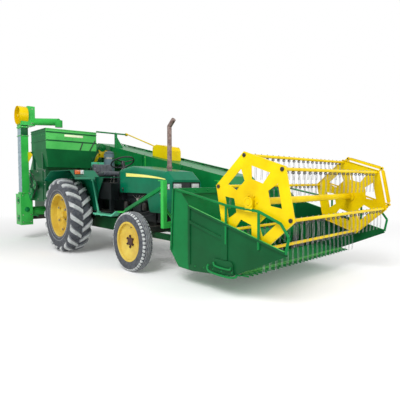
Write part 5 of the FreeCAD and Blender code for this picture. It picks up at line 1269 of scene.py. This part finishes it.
def oil_tank_coat():
    """A grey sleeve, filler cap and straps on the standing oil tank."""
    piece = Piece("oil_tank_coat", "chassis", "bare_steel")
    x, y = -420, 362
    sleeve_r, strap_r = 106, 108
    piece.turned((x, y, 1335), Z, [(0, sleeve_r), (500, sleeve_r)], "tank_grey", 48)
    for z in (1420, 1720):
        piece.turned((x, y, z), Z, [(0, strap_r), (30, strap_r)], "zinc", 48)
    piece.turned((x, y, 1876), Z, [(0, 34), (20, 34), (26, 28), (28, 0)], "black_plastic", 28)
    piece.turned((x, y, 1848), Z, [(0, 96), (20, 90), (28, 60), (30, 0)], "tank_grey", 40)
    piece.done()


def header_trim():
    """Bolts on the header's ends and back, the rails' sleeves, a painted highlight of bright green along the ends'
    tops, and the right end's lower skid tubes."""
    piece = Piece("header_trim", "header", "machine_green")
    for name, side in SIDES.items():
        node, out, way = f"header_end_{name}", 2300 * side, -Y * side
        piece.bolts(node, [(2866, out, z) for z in range(460, 851, 130)], way, 15, "machine_green")
        piece.bolts(node, [(x, out, 262 + (x - 3300) * 0.06) for x in range(3300, 3901, 150)], way,
                    13, "machine_green")
        low, high = extent(node)
        middle = low.y + 14 if side < 0 else high.y - 14
        piece.rod((4066, middle, 985.8), (4170, middle, 976.4), 17, "machine_green", 16)
        # A bright green strip along each end's top edge: a painted highlight
        painted_highlight = [line_between((3198, y, 1400), (4546, y, 1400), 14)
                 for y in (middle - 12, middle, middle + 11)]
        piece.overlay(node, painted_highlight, -Z, 1.2, "leg_green")
    y = extent("header_end_right")[0].y - 15
    lower = [(3560, y, 335), (3545, y - 2, 295), (3575, y - 4, 262), (3680, y - 4, 248),
             (3860, y - 4, 246), (3960, y - 2, 262), (3985, y, 290)]
    upper = [(3640, y, 375), (3660, y - 3, 340), (3760, y - 3, 328), (3880, y - 3, 330), (3900, y, 356)]
    piece.tube(smooth(lower, 5), 13, "machine_green", 12)
    piece.tube(smooth(upper, 5), 10, "machine_green", 10)
    piece.bolts("header_pan", [(3300, y, 1146) for y in range(-500, 1700, 220)], -X, 15, "machine_green")
    piece.bolts("header_pan", [(2500, y, 1146) for y in range(1300, 1700, 130)], X, 15)
    piece.done(0.6)


def knife():
    """Riveted knife sections on their back bar, between the guards."""
    low, high = extent("cutter_bar")
    piece = Piece("knife", "header", "bare_steel")
    pitch, top = 76.2, high.z
    first, count = low.y + 39, int((high.y - low.y - 60) // pitch)
    piece.box((low.x + 38, low.y + 6, top + 0.5), (low.x + 58, high.y - 6, top + 5), "zinc")
    for k in range(count):
        y = first + pitch * (k + 0.5)
        line = [(low.x + 30, y - 37), (low.x + 60, y - 37), (low.x + 118, y - 7), (low.x + 118, y + 7),
                (low.x + 60, y + 37), (low.x + 30, y + 37)]
        piece.loft([[Vector((a, b, top + z)) for a, b in line] for z in (5, 8)], "leg_green")
        for off in (-18, 18):
            piece.turned((low.x + 46, y + off, top + 8), Z, [(0, 5), (2, 5), (3, 3)], "zinc", 8)
    piece.done()


def lift_hoses():
    """Oil hoses from the frame to each lift cylinder's foot, with their unions."""
    piece = Piece("lift_hoses", "chassis", "chassis_black")
    low, high = extent("lift_barrels")
    for y in (low.y + 38, high.y - 38):
        inner = y - 60
        piece.tube(smooth([(1180, 310, 500), (1200, (310 + inner) / 2, 462), (1236, inner, 452),
                           (1250, y - 20, 456)], 8), 8, "hose", 10)
        piece.rod((1250, y - 22, 456), (1258, y - 4, 458), 11, "zinc", 6)
    piece.done()


def auger_bolts():
    """Bolted joints where the auger's flights meet its tube ends."""
    piece = Piece("auger_fittings", "auger_rotor", "machine_green")
    low, high = extent("auger")
    hub = joint_spot("auger_turn")
    inset, outside, bolts = 60, 200, 8
    for y in (low.y + inset, high.y - inset):
        middle = Vector((hub.x, y, hub.z))
        for spot in ring(middle, X, Z, outside, bolts):
            piece.bolts("auger", [spot], middle - spot, 14)
    piece.done()


bpy.context.scene.view_settings.view_transform = "Standard"
camera()
studio()
paint_nodes()
for wheel_side in SIDES:
    rear_tyre(wheel_side)
    front_tyre(wheel_side)
    wheel_fittings("rear", wheel_side)
    wheel_fittings("front", wheel_side)
    hood_trim(wheel_side)
lamps()
nose_band()
seat()
controls()
for bar in TINE_BARS:
    tine_bar(bar)
reel_fittings()
spider_ring()
tank_trim()
auger_tube()
elevator_trim()
thresher_drives()
conveyor_trim()
engine_trim()
portal_trim()
oil_tank_coat()
header_trim()
knife()
lift_hoses()
auger_bolts()
